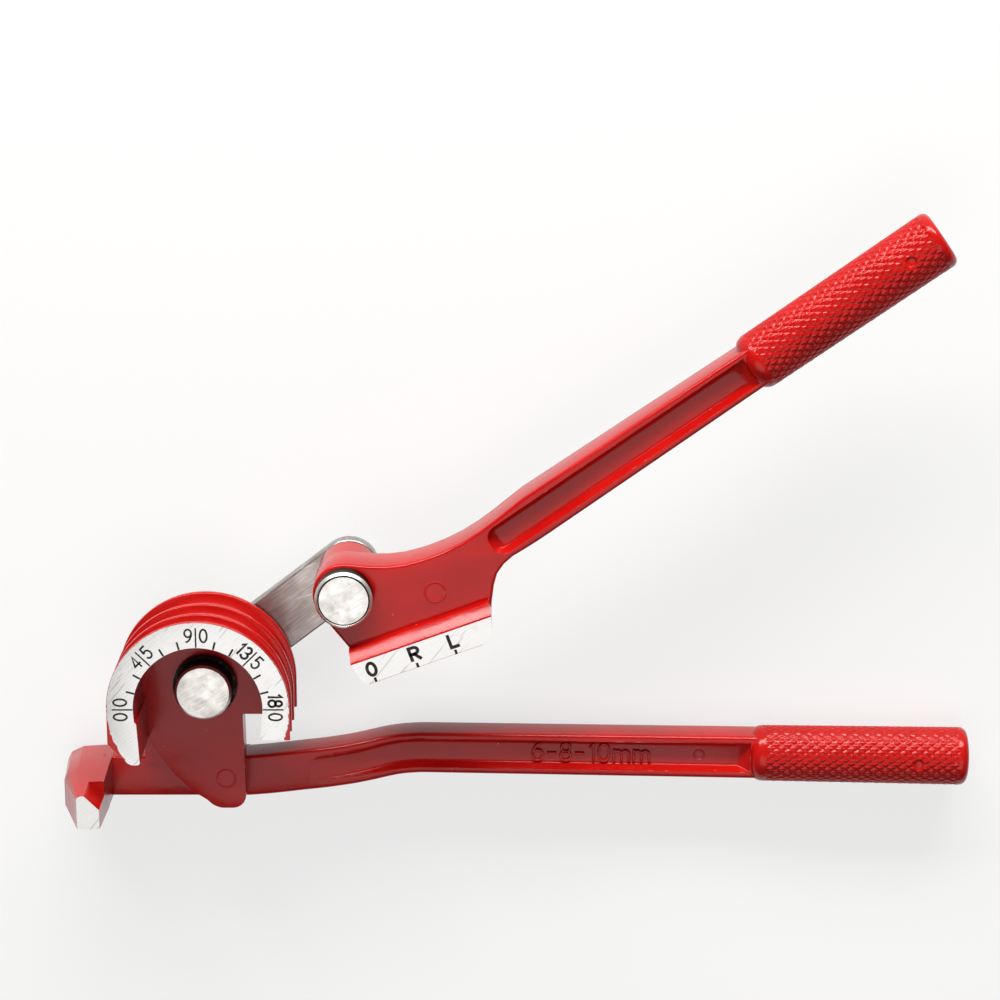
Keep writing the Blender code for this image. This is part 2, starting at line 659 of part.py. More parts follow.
def lever_recess():
    """Long recess in the lever's bar, round at the neck and ramped at the grip."""
    end = LEVER_REACH - RECESS_GRIP_MARGIN
    half_width = (LEVER_BAR_WIDTH + LEVER_BAR_GRIP_END_WIDTH) / 4 - RECESS_RIM
    rings = []
    for step in range(CORNER_STEPS + 1):
        turn = math.radians(90 * step / CORNER_STEPS)
        x = LEVER_RECESS_START + LEVER_RECESS_RUN * (1 - math.cos(turn))
        width = half_width * (1 + math.sin(turn)) / 2
        rings.append(recess_ring(lever_line(x), along(LEVER_BAR_ANGLE), width, RECESS_DEPTH * math.sin(turn),
                                 PLATE_FRONT))
    for x, depth in ((end - RECESS_END_RAMP, RECESS_DEPTH), (end, 0)):
        rings.append(recess_ring(lever_line(x), along(LEVER_BAR_ANGLE), half_width, depth, PLATE_FRONT))
    return loft(rings)


def lever_handle(material):
    """The lever casting: boss, plate, grooved shoe, bar and grip, about its own pivot."""
    obj = make_object("lever_handle", chamfer_rims(prism(plate_outline(), PLATE_BACK, PLATE_FRONT),
                                                   PLATE_EDGE_CHAMFER), material)
    boss = rod(BOSS_RADIUS - PLATE_EDGE_CHAMFER, PLATE_FRONT - PLATE_EDGE_CHAMFER - CASTING_BACK)
    bmesh.ops.translate(boss, verts=boss.verts, vec=(0, 0, CASTING_BACK))
    combine(obj, boss, "UNION")
    combine(obj, lever_bar(), "UNION")
    grip_height = PLATE_FRONT - LEVER_BAR_THICKNESS / 2 - GRIP_DEPTH_OFFSET
    combine(obj, grip(lever_line(LEVER_REACH), LEVER_BAR_ANGLE, grip_height), "UNION")
    combine(obj, lever_recess(), "DIFFERENCE")
    grooves = [shoe_groove(diameter, height) for diameter, height in zip(TUBE_DIAMETERS, groove_heights())]
    shoe = carved("shoe", prism(shoe_outline(), SHOE_BACK, DIAL_FACE), shoe_slopes() + grooves)
    combine(obj, shoe, "UNION")
    combine(obj, bore(), "DIFFERENCE")
    smooth_shade(obj)
    return obj


def link_plate(material):
    """Steel bar with round ends and two bores, from the former's pivot to the lever's."""
    outline = arc((0, 0), LINK_HALF_WIDTH, 90, 270, ROUND_STEPS // 2)
    outline += arc((LINK_LENGTH, 0), LINK_HALF_WIDTH, -90, 90, ROUND_STEPS // 2)
    obj = make_object("link_plate", chamfer_rims(prism(outline, LINK_BACK, LINK_FRONT), LINK_EDGE_CHAMFER),
                      material)
    combine(obj, bore(), "DIFFERENCE")
    outer = bore()
    bmesh.ops.translate(outer, verts=outer.verts, vec=(LINK_LENGTH, 0, 0))
    combine(obj, outer, "DIFFERENCE")
    smooth_shade(obj)
    return obj


def rivet(name, seat, material):
    """Rivet with a thick flat head on its seat, and its tail peened over the link."""
    head = seat + SEAT_GAP
    top = head + HEAD_HEIGHT
    profile = [(0, 0), (TAIL_FLAT_RADIUS, 0), (TAIL_RADIUS, TAIL_HEIGHT * 0.6), (TAIL_RADIUS, TAIL_HEIGHT),
               (SHANK_RADIUS, TAIL_HEIGHT), (SHANK_RADIUS, head), (HEAD_RADIUS, head),
               (HEAD_RADIUS, top - HEAD_CHAMFER), (HEAD_RADIUS - HEAD_CHAMFER, top), (0, top)]
    obj = make_object(name, turned(profile), material)
    smooth_shade(obj)
    return obj


def washer(name, radius, low, thickness, material):
    """Flat ring round a rivet's shank."""
    profile = [(BORE_RADIUS, low), (radius, low), (radius, low + thickness), (BORE_RADIUS, low + thickness)]
    obj = make_object(name, turned(profile), material)
    smooth_shade(obj)
    return obj


def joint_empty(name, location, angle, parent=None):
    """Empty on a joint's axis, turned to the joint's rest angle."""
    empty = bpy.data.objects.new(name, None)
    bpy.context.scene.collection.objects.link(empty)
    empty.location = location
    empty.rotation_euler = (0, 0, math.radians(angle))
    empty.parent = parent
    return empty


def build():
    """Makes every piece and hangs the moving ones on their joints."""
    for obj in list(bpy.data.objects):
        bpy.data.objects.remove(obj, do_unlink=True)
    red_paint = metal("red_paint", (0.55, 0.016, 0.012), 0.32, 0.0)
    link_steel = metal("satin_steel", (0.58, 0.56, 0.54), 0.35, 1.0)
    rivet_steel = metal("rivet_steel", (0.72, 0.70, 0.66), 0.30, 1.0)
    dark_steel = metal("blackened_steel", (0.05, 0.045, 0.04), 0.45, 1.0)

    forming_handle(red_paint)
    rivet("former_rivet", WEB_FRONT + SEAT_GAP + HEAD_WASHER_THICKNESS, rivet_steel)
    washer("former_head_washer", HEAD_WASHER_RADIUS, WEB_FRONT + SEAT_GAP, HEAD_WASHER_THICKNESS, dark_steel)
    washer("former_thrust_washer", THRUST_WASHER_RADIUS, THRUST_WASHER_BACK, THRUST_WASHER_THICKNESS,
           dark_steel)

    link_joint = joint_empty("link_joint", (0, 0, 0), LINK_ANGLE)
    link_plate(link_steel).parent = link_joint
    lever_joint = joint_empty("lever_joint", (LINK_LENGTH, 0, 0), LEVER_ANGLE - LINK_ANGLE, link_joint)
    rivet("lever_rivet", PLATE_FRONT, rivet_steel).parent = lever_joint
    washer("lever_thrust_washer", THRUST_WASHER_RADIUS, THRUST_WASHER_BACK, THRUST_WASHER_THICKNESS,
           dark_steel).parent = lever_joint
    lever_handle(red_paint).parent = lever_joint


build()
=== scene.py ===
import math

import bmesh
import bpy
from mathutils import Matrix, Vector


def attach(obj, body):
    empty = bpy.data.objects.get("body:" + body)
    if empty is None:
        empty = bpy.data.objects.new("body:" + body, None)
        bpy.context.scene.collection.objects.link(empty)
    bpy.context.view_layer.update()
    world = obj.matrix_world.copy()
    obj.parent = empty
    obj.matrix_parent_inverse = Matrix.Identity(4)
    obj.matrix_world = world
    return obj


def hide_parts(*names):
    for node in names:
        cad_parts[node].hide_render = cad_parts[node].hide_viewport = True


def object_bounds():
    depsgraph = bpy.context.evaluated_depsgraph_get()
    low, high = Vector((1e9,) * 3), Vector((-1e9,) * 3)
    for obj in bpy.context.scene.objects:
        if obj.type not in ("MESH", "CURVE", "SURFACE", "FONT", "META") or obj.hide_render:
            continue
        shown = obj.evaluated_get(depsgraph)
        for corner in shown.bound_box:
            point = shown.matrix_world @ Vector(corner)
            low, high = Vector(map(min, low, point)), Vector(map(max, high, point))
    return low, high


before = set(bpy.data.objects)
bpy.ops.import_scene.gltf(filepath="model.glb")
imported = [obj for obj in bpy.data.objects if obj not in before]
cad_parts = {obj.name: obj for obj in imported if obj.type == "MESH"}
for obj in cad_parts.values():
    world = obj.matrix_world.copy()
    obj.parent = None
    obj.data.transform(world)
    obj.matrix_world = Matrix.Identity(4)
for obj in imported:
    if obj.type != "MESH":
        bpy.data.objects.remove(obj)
cad_box = [list(corner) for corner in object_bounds()]

# Table and light. The tool lies on its back on a white table. A long soft lamp stands beyond it
# and lights the upper sides of the bars; one overhead lies in the reflection of the front faces.
mm = 0.001
floor_height = cad_box[0][2] / mm
table_gap = 0.1
table_half = 4000
table_white = 0.70


def linear(hex_colour):
    """Turns an sRGB hex colour into the linear values that Blender uses."""
    values = [int(hex_colour[start:start + 2], 16) / 255 for start in (1, 3, 5)]
    return tuple([v / 12.92 if v <= 0.04045 else ((v + 0.055) / 1.055) ** 2.4 for v in values] + [1.0])


def add_node(tree, kind, settings=None, inputs=None, links=None):
    """Adds a node: settings are its own values, inputs its sockets' values, links its sources."""
    node = tree.nodes.new(kind)
    for name, value in (settings or {}).items():
        setattr(node, name, value)
    for name, value in (inputs or {}).items():
        node.inputs[name].default_value = value
    for name, source in (links or {}).items():
        tree.links.new(source, node.inputs[name])
    return node


def new_material(name):
    """An empty material with its output node."""
    material = bpy.data.materials.new(name)
    material.use_nodes = True
    material.node_tree.nodes.clear()
    return material, material.node_tree, material.node_tree.nodes.new("ShaderNodeOutputMaterial")


def new_object(name, bm, *materials):
    """Turns a bmesh in millimetres into an object in metres at the origin."""
    bmesh.ops.scale(bm, vec=(mm, mm, mm), verts=bm.verts)
    mesh = bpy.data.meshes.new(name)
    bm.to_mesh(mesh)
    bm.free()
    for material in materials:
        mesh.materials.append(material)
    obj = bpy.data.objects.new(name, mesh)
    bpy.context.scene.collection.objects.link(obj)
    return obj


# The table scatters about a quarter of the light, which keeps the shadow, and shows the rest of
# its white only to the camera and to reflections.
table_paint, tree, output = new_material("matt_white_table")
coat = add_node(tree, "ShaderNodeBsdfDiffuse", inputs={"Color": linear("#8F8E8C")})
path = add_node(tree, "ShaderNodeLightPath")
seen = add_node(tree, "ShaderNodeMath", {"operation": "ADD"},
                links={0: path.outputs["Is Camera Ray"], 1: path.outputs["Is Glossy Ray"]})
seen = add_node(tree, "ShaderNodeMath", {"operation": "ADD", "use_clamp": True},
                links={0: seen.outputs[0], 1: path.outputs["Is Transmission Ray"]})
seen = add_node(tree, "ShaderNodeMath", {"operation": "MULTIPLY"}, inputs={1: table_white},
                links={0: seen.outputs[0]})
white = add_node(tree, "ShaderNodeEmission", inputs={"Color": linear("#FFFFFF")},
                 links={"Strength": seen.outputs[0]})
both = add_node(tree, "ShaderNodeAddShader", links={0: coat.outputs[0], 1: white.outputs[0]})
tree.links.new(both.outputs[0], output.inputs["Surface"])
bm = bmesh.new()
bmesh.ops.create_grid(bm, x_segments=1, y_segments=1, size=table_half)
bmesh.ops.translate(bm, verts=bm.verts, vec=(0, 0, floor_height - table_gap))
table = new_object("table", bm, table_paint)

# The camera stands above the table beyond the tool and looks down, tipped towards the handle. The
# camera and the lamps are placed in metres; every piece is modelled in millimetres.
camera_data = bpy.data.cameras.new("camera")
camera_data.sensor_width = 36
camera_data.lens = 101.77
camera_data.clip_start = 0.01
camera = bpy.data.objects.new("camera", camera_data)
camera.location = (0.0907, 0.2859, 0.8412)
camera.rotation_euler = (math.radians(-15.4), 0, 0)
bpy.context.scene.collection.objects.link(camera)
bpy.context.scene.camera = camera


def soft_lamp(name, place, target, size, watts):
    """A rectangular soft lamp that looks at a point."""
    data = bpy.data.lights.new(name, "AREA")
    data.shape = "RECTANGLE"
    data.size, data.size_y = size
    data.energy = watts
    lamp = bpy.data.objects.new(name, data)
    lamp.location = place
    lamp.rotation_euler = (Vector(target) - Vector(place)).to_track_quat("-Z", "Y").to_euler()
    bpy.context.scene.collection.objects.link(lamp)


middle = (0.09, 0.04, 0.02)
soft_lamp("far_lamp", (0.04, 1.10, 0.45), middle, (1.4, 0.30), 25)
soft_lamp("overhead_lamp", (0.06, -0.28, 1.15), middle, (1.0, 0.8), 3.9)

# The room: brighter near the horizon, dark above it and a little lighter overhead. Each row is the
# height of a direction, 0 level and 1 straight up, and the light from there.
sky_rows = ((0.03, 0.45), (0.14, 0.10), (0.80, 0.16))
world = bpy.data.worlds.new("studio")
bpy.context.scene.world = world
world.use_nodes = True
tree = world.node_tree
tree.nodes.clear()
place = add_node(tree, "ShaderNodeTexCoord")
height = add_node(tree, "ShaderNodeSeparateXYZ", links={"Vector": place.outputs["Generated"]})
shade = add_node(tree, "ShaderNodeValToRGB", links={"Fac": height.outputs["Z"]})
shade.color_ramp.elements.new(1.0)
for stop, (share, light) in zip(shade.color_ramp.elements, sky_rows):
    stop.position = share
    stop.color = (light, light, light, 1)
sky = add_node(tree, "ShaderNodeBackground", links={"Color": shade.outputs["Color"]})
add_node(tree, "ShaderNodeOutputWorld", links={"Surface": sky.outputs[0]})
bpy.context.scene.view_settings.view_transform = "Standard"

# Former: a half ring with three tube grooves and two straight legs, die-cast in aluminium in one
# piece with the forming handle. It is painted all over, and its front is then ground bare.
dial_face = 40.35
casting_back = 8.4
face_radius = 27.5
cup_radius = 19.5
free_leg = 9.7
tube_leg = 17.8
crest = 0.45
leg_lean = 1.0
ring_steps = 72
paint_reach = 27.45
# Height and radius of the grooves for 6, 8 and 10 mm tube.
grooves = ((35.75, 3.15), (26.65, 4.15), (15.55, 5.15))
# The longer leg's three lengths, and how much its wall thickens inwards over each.
leg_rows = ((4.1, 0.25), (0.5, 0.6), (tube_leg - 4.6, 0.75))


def arc(centre, radius, start, end, steps):
    """Points on a circle from one angle to another, both included."""
    turns = [math.radians(start + (end - start) * step / steps) for step in range(steps + 1)]
    return [(centre[0] + radius * math.cos(turn), centre[1] + radius * math.sin(turn)) for turn in turns]


def outline_face(corners, height=0.0, segments=5):
    """A flat face through corners (x, y) or (x, y, rounding)."""
    bm = bmesh.new()
    verts = [bm.verts.new((corner[0], corner[1], height)) for corner in corners]
    bm.faces.new(verts)
    roundings = [corner[2] if len(corner) > 2 else 0 for corner in corners]
    for rounding in sorted(set(roundings) - {0}):
        chosen = [vert for vert, own in zip(verts, roundings) if own == rounding]
        bmesh.ops.bevel(bm, geom=chosen, offset=rounding, offset_type="OFFSET", segments=segments,
                        profile=0.5, affect="VERTICES", material=-1, clamp_overlap=True)
    return bm


def verts_of(geometry):
    return [item for item in geometry if isinstance(item, bmesh.types.BMVert)]


def edges_of(geometry):
    return [item for item in geometry if isinstance(item, bmesh.types.BMEdge)]


def verts_in(items):
    """The vertices of edges or faces, each once."""
    return list(dict.fromkeys(vert for item in items for vert in item.verts))


def raise_faces(bm, faces, lift):
    """Extrudes faces by a vector."""
    grown = bmesh.ops.extrude_face_region(bm, geom=faces)["geom"]
    bmesh.ops.translate(bm, verts=verts_of(grown), vec=lift)


def prism(corners, low, high, segments=5):
    """A solid between two heights over an outline."""
    bm = outline_face(corners, low, segments)
    raise_faces(bm, bm.faces[:], (0, 0, high - low))
    bmesh.ops.recalc_face_normals(bm, faces=bm.faces)
    return bm


def draw_edges(bm, edges, move):
    """Extrudes edges by a vector and gives the new ones."""
    grown = bmesh.ops.extrude_edge_only(bm, edges=edges)["geom"]
    bmesh.ops.translate(bm, verts=verts_of(grown), vec=move)
    moved = set(verts_of(grown))
    return [edge for edge in bm.edges if all(vert in moved for vert in edge.verts)]


def round_edges(bm, edges, radius, segments=3):
    """Rounds edges off."""
    bmesh.ops.bevel(bm, geom=edges, offset=radius, offset_type="OFFSET", segments=segments, profile=0.5,
                    affect="EDGES", material=-1, clamp_overlap=True)


def middle_of(item):
    """Middle of an edge or face."""
    return sum((vert.co for vert in item.verts), Vector()) / len(item.verts)


def sharp_edges(bm, least=30, test=lambda edge: True):
    """Edges whose faces meet at more than an angle and that pass a test."""
    bm.normal_update()
    return [edge for edge in bm.edges if len(edge.link_faces) == 2
            and edge.calc_face_angle(0) > math.radians(least) and test(edge)]


def cut_with(bm, tool, operation="DIFFERENCE"):
    """Cuts a shape with another one, or keeps only what they share."""
    pair = []
    for name, shape in (("body", bm), ("tool", tool)):
        mesh = bpy.data.meshes.new(name)
        shape.to_mesh(mesh)
        shape.free()
        pair.append(bpy.data.objects.new(name, mesh))
        bpy.context.scene.collection.objects.link(pair[-1])
    modifier = pair[0].modifiers.new("cut", "BOOLEAN")
    modifier.operation = operation
    modifier.solver = "EXACT"
    modifier.object = pair[1]
    bpy.context.view_layer.update()
    result = bmesh.new()
    result.from_object(pair[0], bpy.context.evaluated_depsgraph_get())
    for obj in pair:
        mesh = obj.data
        bpy.data.objects.remove(obj)
        bpy.data.meshes.remove(mesh)
    return result


def finish_piece(obj, body, nodes, sharp=35):
    """Smooth shading that keeps the real edges, and the piece's place on the tool."""
    obj.data.shade_smooth()
    obj.data.set_sharp_from_angle(angle=math.radians(sharp))
    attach(obj, body)
    if nodes:
        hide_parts(*nodes)


def noise(tree, place, size, detail=2.0, fine=None, turn=0.0):
    """Noise with waves of a size in millimetres; for lines, fine is their spacing and turn is the
    turn that lays them along X."""
    if fine:
        laid = add_node(tree, "ShaderNodeVectorRotate", {"rotation_type": "Z_AXIS"}, {"Angle": turn},
                        {"Vector": place})
        place = add_node(tree, "ShaderNodeVectorMath", {"operation": "MULTIPLY"},
                         {1: (1, size / fine, 1)}, {0: laid.outputs[0]}).outputs[0]
    return add_node(tree, "ShaderNodeTexNoise", inputs={"Scale": 1 / (size * mm), "Detail": detail},
                    links={"Vector": place}).outputs["Fac"]


def steps_of(tree, value, low, high, first=0.0, last=1.0):
    """Reads a value between two limits as a value between two others."""
    return add_node(tree, "ShaderNodeMapRange", inputs={1: low, 2: high, 3: first, 4: last},
                    links={0: value}).outputs[0]


def mixed(tree, share, first, second):
    """Mixes two colours, each a value or another node's output."""
    node = add_node(tree, "ShaderNodeMix", {"data_type": "RGBA"}, links={0: share})
    for socket, colour in ((6, first), (7, second)):
        if isinstance(colour, tuple):
            node.inputs[socket].default_value = colour
        else:
            tree.links.new(colour, node.inputs[socket])
    return node.outputs[2]


def summed(tree, first, second, operation="ADD"):
    """A sum, difference or product of two values, either of them a plain number."""
    node = add_node(tree, "ShaderNodeMath", {"operation": operation})
    for socket, value in ((0, first), (1, second)):
        if isinstance(value, (int, float)):
            node.inputs[socket].default_value = value
        else:
            tree.links.new(value, node.inputs[socket])
    return node.outputs[0]


def bump(tree, height, relief_depth, strength=1.0, under=None):
    """A relief of a depth in millimetres, on top of another one."""
    node = add_node(tree, "ShaderNodeBump", inputs={"Distance": relief_depth * mm, "Strength": strength},
                    links={"Height": height})
    if under:
        tree.links.new(under, node.inputs["Normal"])
    return node.outputs[0]


# Stove enamel sprayed on a rough casting: a high gloss with orange peel, the casting's slow waves
# under it, a little dust, and small pale chips where edges were knocked.
paint, tree, output = new_material("gloss_red_stove_enamel")
place = add_node(tree, "ShaderNodeTexCoord").outputs["Object"]
slow = noise(tree, place, 18.2)
peel = noise(tree, place, 1.43, 1.0)
waves = noise(tree, place, 6.67)
edge = add_node(tree, "ShaderNodeBevel", {"samples": 4}, {"Radius": 0.5 * mm})
flat = add_node(tree, "ShaderNodeNewGeometry")
bend = add_node(tree, "ShaderNodeVectorMath", {"operation": "DOT_PRODUCT"},
                links={0: edge.outputs[0], 1: flat.outputs["Normal"]}).outputs["Value"]
worn = steps_of(tree, bend, 0.93, 0.80)
chip = steps_of(tree, noise(tree, place, 2.38, 3.0), 0.60, 0.64)
worn = summed(tree, worn, chip, "MULTIPLY")
dust = add_node(tree, "ShaderNodeTexVoronoi", inputs={"Scale": 1 / (4.76 * mm)},
                links={"Vector": place})
speck = steps_of(tree, dust.outputs["Distance"], 0.07, 0.04)
rare = steps_of(tree, noise(tree, place, 11.1, 0.0), 0.60, 0.66)
speck = summed(tree, speck, rare, "MULTIPLY")
colour = mixed(tree, steps_of(tree, slow, 0.35, 0.65), linear("#B00C08"), linear("#BC120D"))
colour = mixed(tree, summed(tree, speck, 0.6, "MULTIPLY"), colour, linear("#DC8A80"))
colour = mixed(tree, summed(tree, worn, 0.8, "MULTIPLY"), colour, linear("#D9A9A0"))
relief = bump(tree, waves, 0.25, 0.35)
relief = bump(tree, peel, 0.04, 0.5, relief)
shader = add_node(tree, "ShaderNodeBsdfPrincipled", inputs={"IOR": 1.5, "Specular IOR Level": 0.27},
                  links={"Base Color": colour, "Normal": relief,
                         "Roughness": steps_of(tree, slow, 0.3, 0.7, 0.15, 0.24)})
tree.links.new(shader.outputs[0], output.inputs["Surface"])


def ground_metal(name, ragged):
    """Die-cast aluminium ground on a belt: a bright grey-white with fine lines one way and a few
    deeper scratches. ragged(tree, place) gives the distance in metres to the paint's edge."""
    material, tree, output = new_material(name)
    place = add_node(tree, "ShaderNodeTexCoord").outputs["Object"]
    # The belt's own lines are about 0.1 mm apart; they are drawn coarser, so that they show.
    lines = noise(tree, place, 8.33, 3.0, 0.385, math.radians(-38))
    cross = noise(tree, place, 11.1, 2.0, 0.667, math.radians(25))
    blotch = noise(tree, place, 5.56, 3.0)
    scratch = steps_of(tree, noise(tree, place, 14.3, 1.0, 0.909, math.radians(-52)), 0.66, 0.70)
    grey = mixed(tree, steps_of(tree, lines, 0.35, 0.65), linear("#E6E3E0"), linear("#FBFAF8"))
    grey = mixed(tree, steps_of(tree, blotch, 0.62, 0.75, 0.0, 0.35), grey, linear("#B9B2AC"))
    grey = mixed(tree, summed(tree, scratch, 0.45, "MULTIPLY"), grey, linear("#A39C97"))
    edge = summed(tree, noise(tree, place, 1.11), 0.5, "SUBTRACT")
    edge = summed(tree, edge, 1.2 * mm, "MULTIPLY")
    red = steps_of(tree, summed(tree, ragged(tree, place), edge), 0.04 * mm, -0.04 * mm)
    bare = summed(tree, 1.0, red, "SUBTRACT")
    relief = bump(tree, lines, 0.03, 0.4)
    relief = bump(tree, cross, 0.03, 0.25, relief)
    relief = bump(tree, scratch, 0.05, -0.4, relief)
    shader = add_node(tree, "ShaderNodeBsdfPrincipled",
                      links={"Base Color": mixed(tree, red, grey, linear("#B8201B")), "Normal": relief,
                             "Roughness": steps_of(tree, lines, 0.3, 0.7, 0.38, 0.52), "Metallic": bare})
    tree.links.new(shader.outputs[0], output.inputs["Surface"])
    return material


def inside_ring(tree, place):
    """How far inside the former's outer edge a place lies; beyond it the paint remains."""
    flat_place = add_node(tree, "ShaderNodeVectorMath", {"operation": "MULTIPLY"}, {1: (1, 1, 0)},
                          {0: place})
    radius = add_node(tree, "ShaderNodeVectorMath", {"operation": "LENGTH"},
                      links={0: flat_place.outputs[0]}).outputs["Value"]
    return summed(tree, paint_reach * mm, radius, "SUBTRACT")


ground_dial = ground_metal("ground_aluminium", inside_ring)

section = [(cup_radius, dial_face), (face_radius, dial_face, 0.15)]
for groove_height, groove_radius in grooves:
    points = arc((face_radius, groove_height), groove_radius, 90, 270, 16)
    section += [points[0] + (crest,)] + points[1:-1] + [points[-1] + (crest,)]
section += [(face_radius, casting_back, crest), (cup_radius, casting_back, crest)]
bm = outline_face(section, segments=3)
bmesh.ops.rotate(bm, verts=bm.verts, cent=(0, 0, 0), matrix=Matrix.Rotation(math.radians(90), 3, "X"))
bmesh.ops.translate(bm, verts=bm.verts, vec=(0, -free_leg, 0))
# The section now stands at the free leg's end, which is wider on its inner side.
for vert in bm.verts:
    if vert.co.x < cup_radius + leg_lean:
        vert.co.x -= leg_lean
level = draw_edges(bm, list(bm.edges), (0, free_leg, 0))
for vert in verts_in(level):
    if vert.co.x < cup_radius:
        vert.co.x += leg_lean
swept = bmesh.ops.spin(bm, geom=level + verts_in(level), cent=(0, 0, 0), axis=(0, 0, 1),
                       dvec=(0, 0, 0), angle=math.pi, steps=ring_steps, use_duplicate=False)["geom_last"]
loop = edges_of(swept)
for drop, swell in leg_rows:
    loop = draw_edges(bm, loop, (0, -drop, 0))
    inner = [vert for vert in verts_in(loop) if vert.co.x > -cup_radius - 3.0]
    bmesh.ops.translate(bm, verts=inner, vec=(swell, 0, 0))
bmesh.ops.edgeloop_fill(bm, edges=loop)
bmesh.ops.recalc_face_normals(bm, faces=bm.faces)
# What this outline leaves out is cut off, which rounds the longer leg's tip.
tip_end = -17.75
tip = [(40, -12), (40, 40), (-40, 40), (-40, 2.0), (-21.0, tip_end, 1.1), (-17.92, tip_end, 0.9),
       (-17.92, -12)]
bm = cut_with(bm, prism(tip, 0, 50, 6), "INTERSECT")
for face in bm.faces:
    if face.normal.z > 0.99 and middle_of(face).z > dial_face - 0.01:
        face.material_index = 1
former = new_object("former", bm, paint, ground_dial)
finish_piece(former, "forming_body", ("forming_handle",))

# Dial marks: degree numbers and ticks, engraved in the ground face and filled by hand with black
# paint, which is a little patchy. Each tick that has a number stands between its figures.
mark_thickness = 0.05
mark_sink = 0.02
tick_foot = 19.75
short_tick = 21.9
long_tick = 25.6
number_radius = 23.3
number_height = 4.0
number_width = 3.8
letter_gap = 1.0
marking, tree, output = new_material("black_marking_paint")
place = add_node(tree, "ShaderNodeTexCoord").outputs["Object"]
patchy = noise(tree, place, 0.625)
shader = add_node(tree, "ShaderNodeBsdfPrincipled", inputs={"Roughness": 0.6, "Specular IOR Level": 0.2},
                  links={"Base Color": mixed(tree, steps_of(tree, patchy, 0.45, 0.75), linear("#231C1A"),
                                             linear("#4A403C"))})
tree.links.new(shader.outputs[0], output.inputs["Surface"])


def oval(x, y, across, up, start=0, end=360, steps=20):
    """Points along an ellipse."""
    turns = [math.radians(start + (end - start) * step / steps) for step in range(steps + 1)]
    return [(x + across * math.cos(turn), y + up * math.sin(turn)) for turn in turns]


glyphs = {
    "0": [oval(0.28, 0.5, 0.28, 0.5)],
    "1": [[(0.10, 0.78), (0.28, 1), (0.28, 0)]],
    "3": [oval(0.25, 0.74, 0.24, 0.26, 150, -90, 10) + oval(0.25, 0.26, 0.28, 0.26, 90, -150, 10)[1:]],
    "4": [[(0.42, 0), (0.42, 1), (0, 0.3), (0.58, 0.3)]],
    "5": [[(0.5, 1), (0.1, 1), (0.05, 0.58)] + oval(0.26, 0.32, 0.28, 0.32, 130, -150, 12)],
    "6": [oval(0.27, 0.3, 0.27, 0.3), oval(0.5, 0.3, 0.5, 0.7, 178, 100, 6)],
    "8": [oval(0.27, 0.75, 0.22, 0.25), oval(0.27, 0.27, 0.27, 0.27)],
    "9": [oval(0.27, 0.7, 0.27, 0.3), oval(0.04, 0.7, 0.5, 0.7, 0, -80, 6)],
    "R": [[(0, 0), (0, 1), (0.3, 1)] + oval(0.3, 0.74, 0.27, 0.26, 80, -90, 8) + [(0, 0.48)],
          [(0.26, 0.48), (0.58, 0)]],
    "L": [[(0, 1), (0, 0), (0.5, 0)]],
    "m": [[(0, 0), (0, 0.66)], oval(0.2, 0.42, 0.2, 0.2, 180, 0, 6) + [(0.4, 0)],
          oval(0.6, 0.42, 0.2, 0.2, 180, 0, 6) + [(0.8, 0)]],
    "-": [[(0, 0.42), (0.42, 0.42)]],
}


def stroke(bm, points, width):
    """A flat ribbon along points, closed where the last point is the first."""
    closed = (Vector(points[0]) - Vector(points[-1])).length < 1e-4
    points = [Vector(point).to_3d() for point in (points[:-1] if closed else points)]
    count = len(points)
    pairs = []
    for index, point in enumerate(points):
        before = points[index - 1] if closed or index else 2 * point - points[1]
        after = points[(index + 1) % count] if closed or index < count - 1 else 2 * point - points[-2]
        first, second = (point - before).normalized(), (after - point).normalized()
        along = (first + second).normalized()
        side = Vector((-along.y, along.x, 0)) * (width / 2 / max(along.dot(first), 0.5))
        if not closed and index == 0:
            point = point - along * width * 0.3
        if not closed and index == count - 1:
            point = point + along * width * 0.3
        pairs.append((bm.verts.new(point + side), bm.verts.new(point - side)))
    faces = []
    for low, high in zip(pairs, pairs[1:] + (pairs[:1] if closed else [])):
        faces.append(bm.faces.new((low[0], low[1], high[1], high[0])))
    return faces


def lettering(bm, text, place, height, width, heavy, gap):
    """Writes text centred on a place (a matrix); width scales the letters, heavy is the stroke."""
    spans = [max(x for line in glyphs[letter] for x, y in line) for letter in text]
    start = -(sum(spans) * width + gap * (len(text) - 1)) / 2
    for letter, span in zip(text, spans):
        for line in glyphs[letter]:
            points = [(start + x * width, (y - 0.5) * height) for x, y in line]
            faces = stroke(bm, points, heavy)
            bmesh.ops.transform(bm, matrix=place, verts=verts_in(faces))
        start += span * width + gap


def bar_mark(bm, place, low, high, width):
    """A straight mark along the place's own Y."""
    faces = stroke(bm, [(0, low), (0, (low + high) / 2), (0, high)], width)
    bmesh.ops.transform(bm, matrix=place, verts=verts_in(faces))


def marks_object(name, bm, face_height, body, place=Matrix()):
    """Lays flat marks on a face, in the place's own frame."""
    bmesh.ops.translate(bm, verts=bm.verts, vec=(0, 0, face_height - mark_sink))
    raise_faces(bm, bm.faces[:], (0, 0, mark_thickness))
    bmesh.ops.recalc_face_normals(bm, faces=bm.faces)
    bmesh.ops.transform(bm, matrix=place, verts=bm.verts)
    finish_piece(new_object(name, bm, marking), body, ())


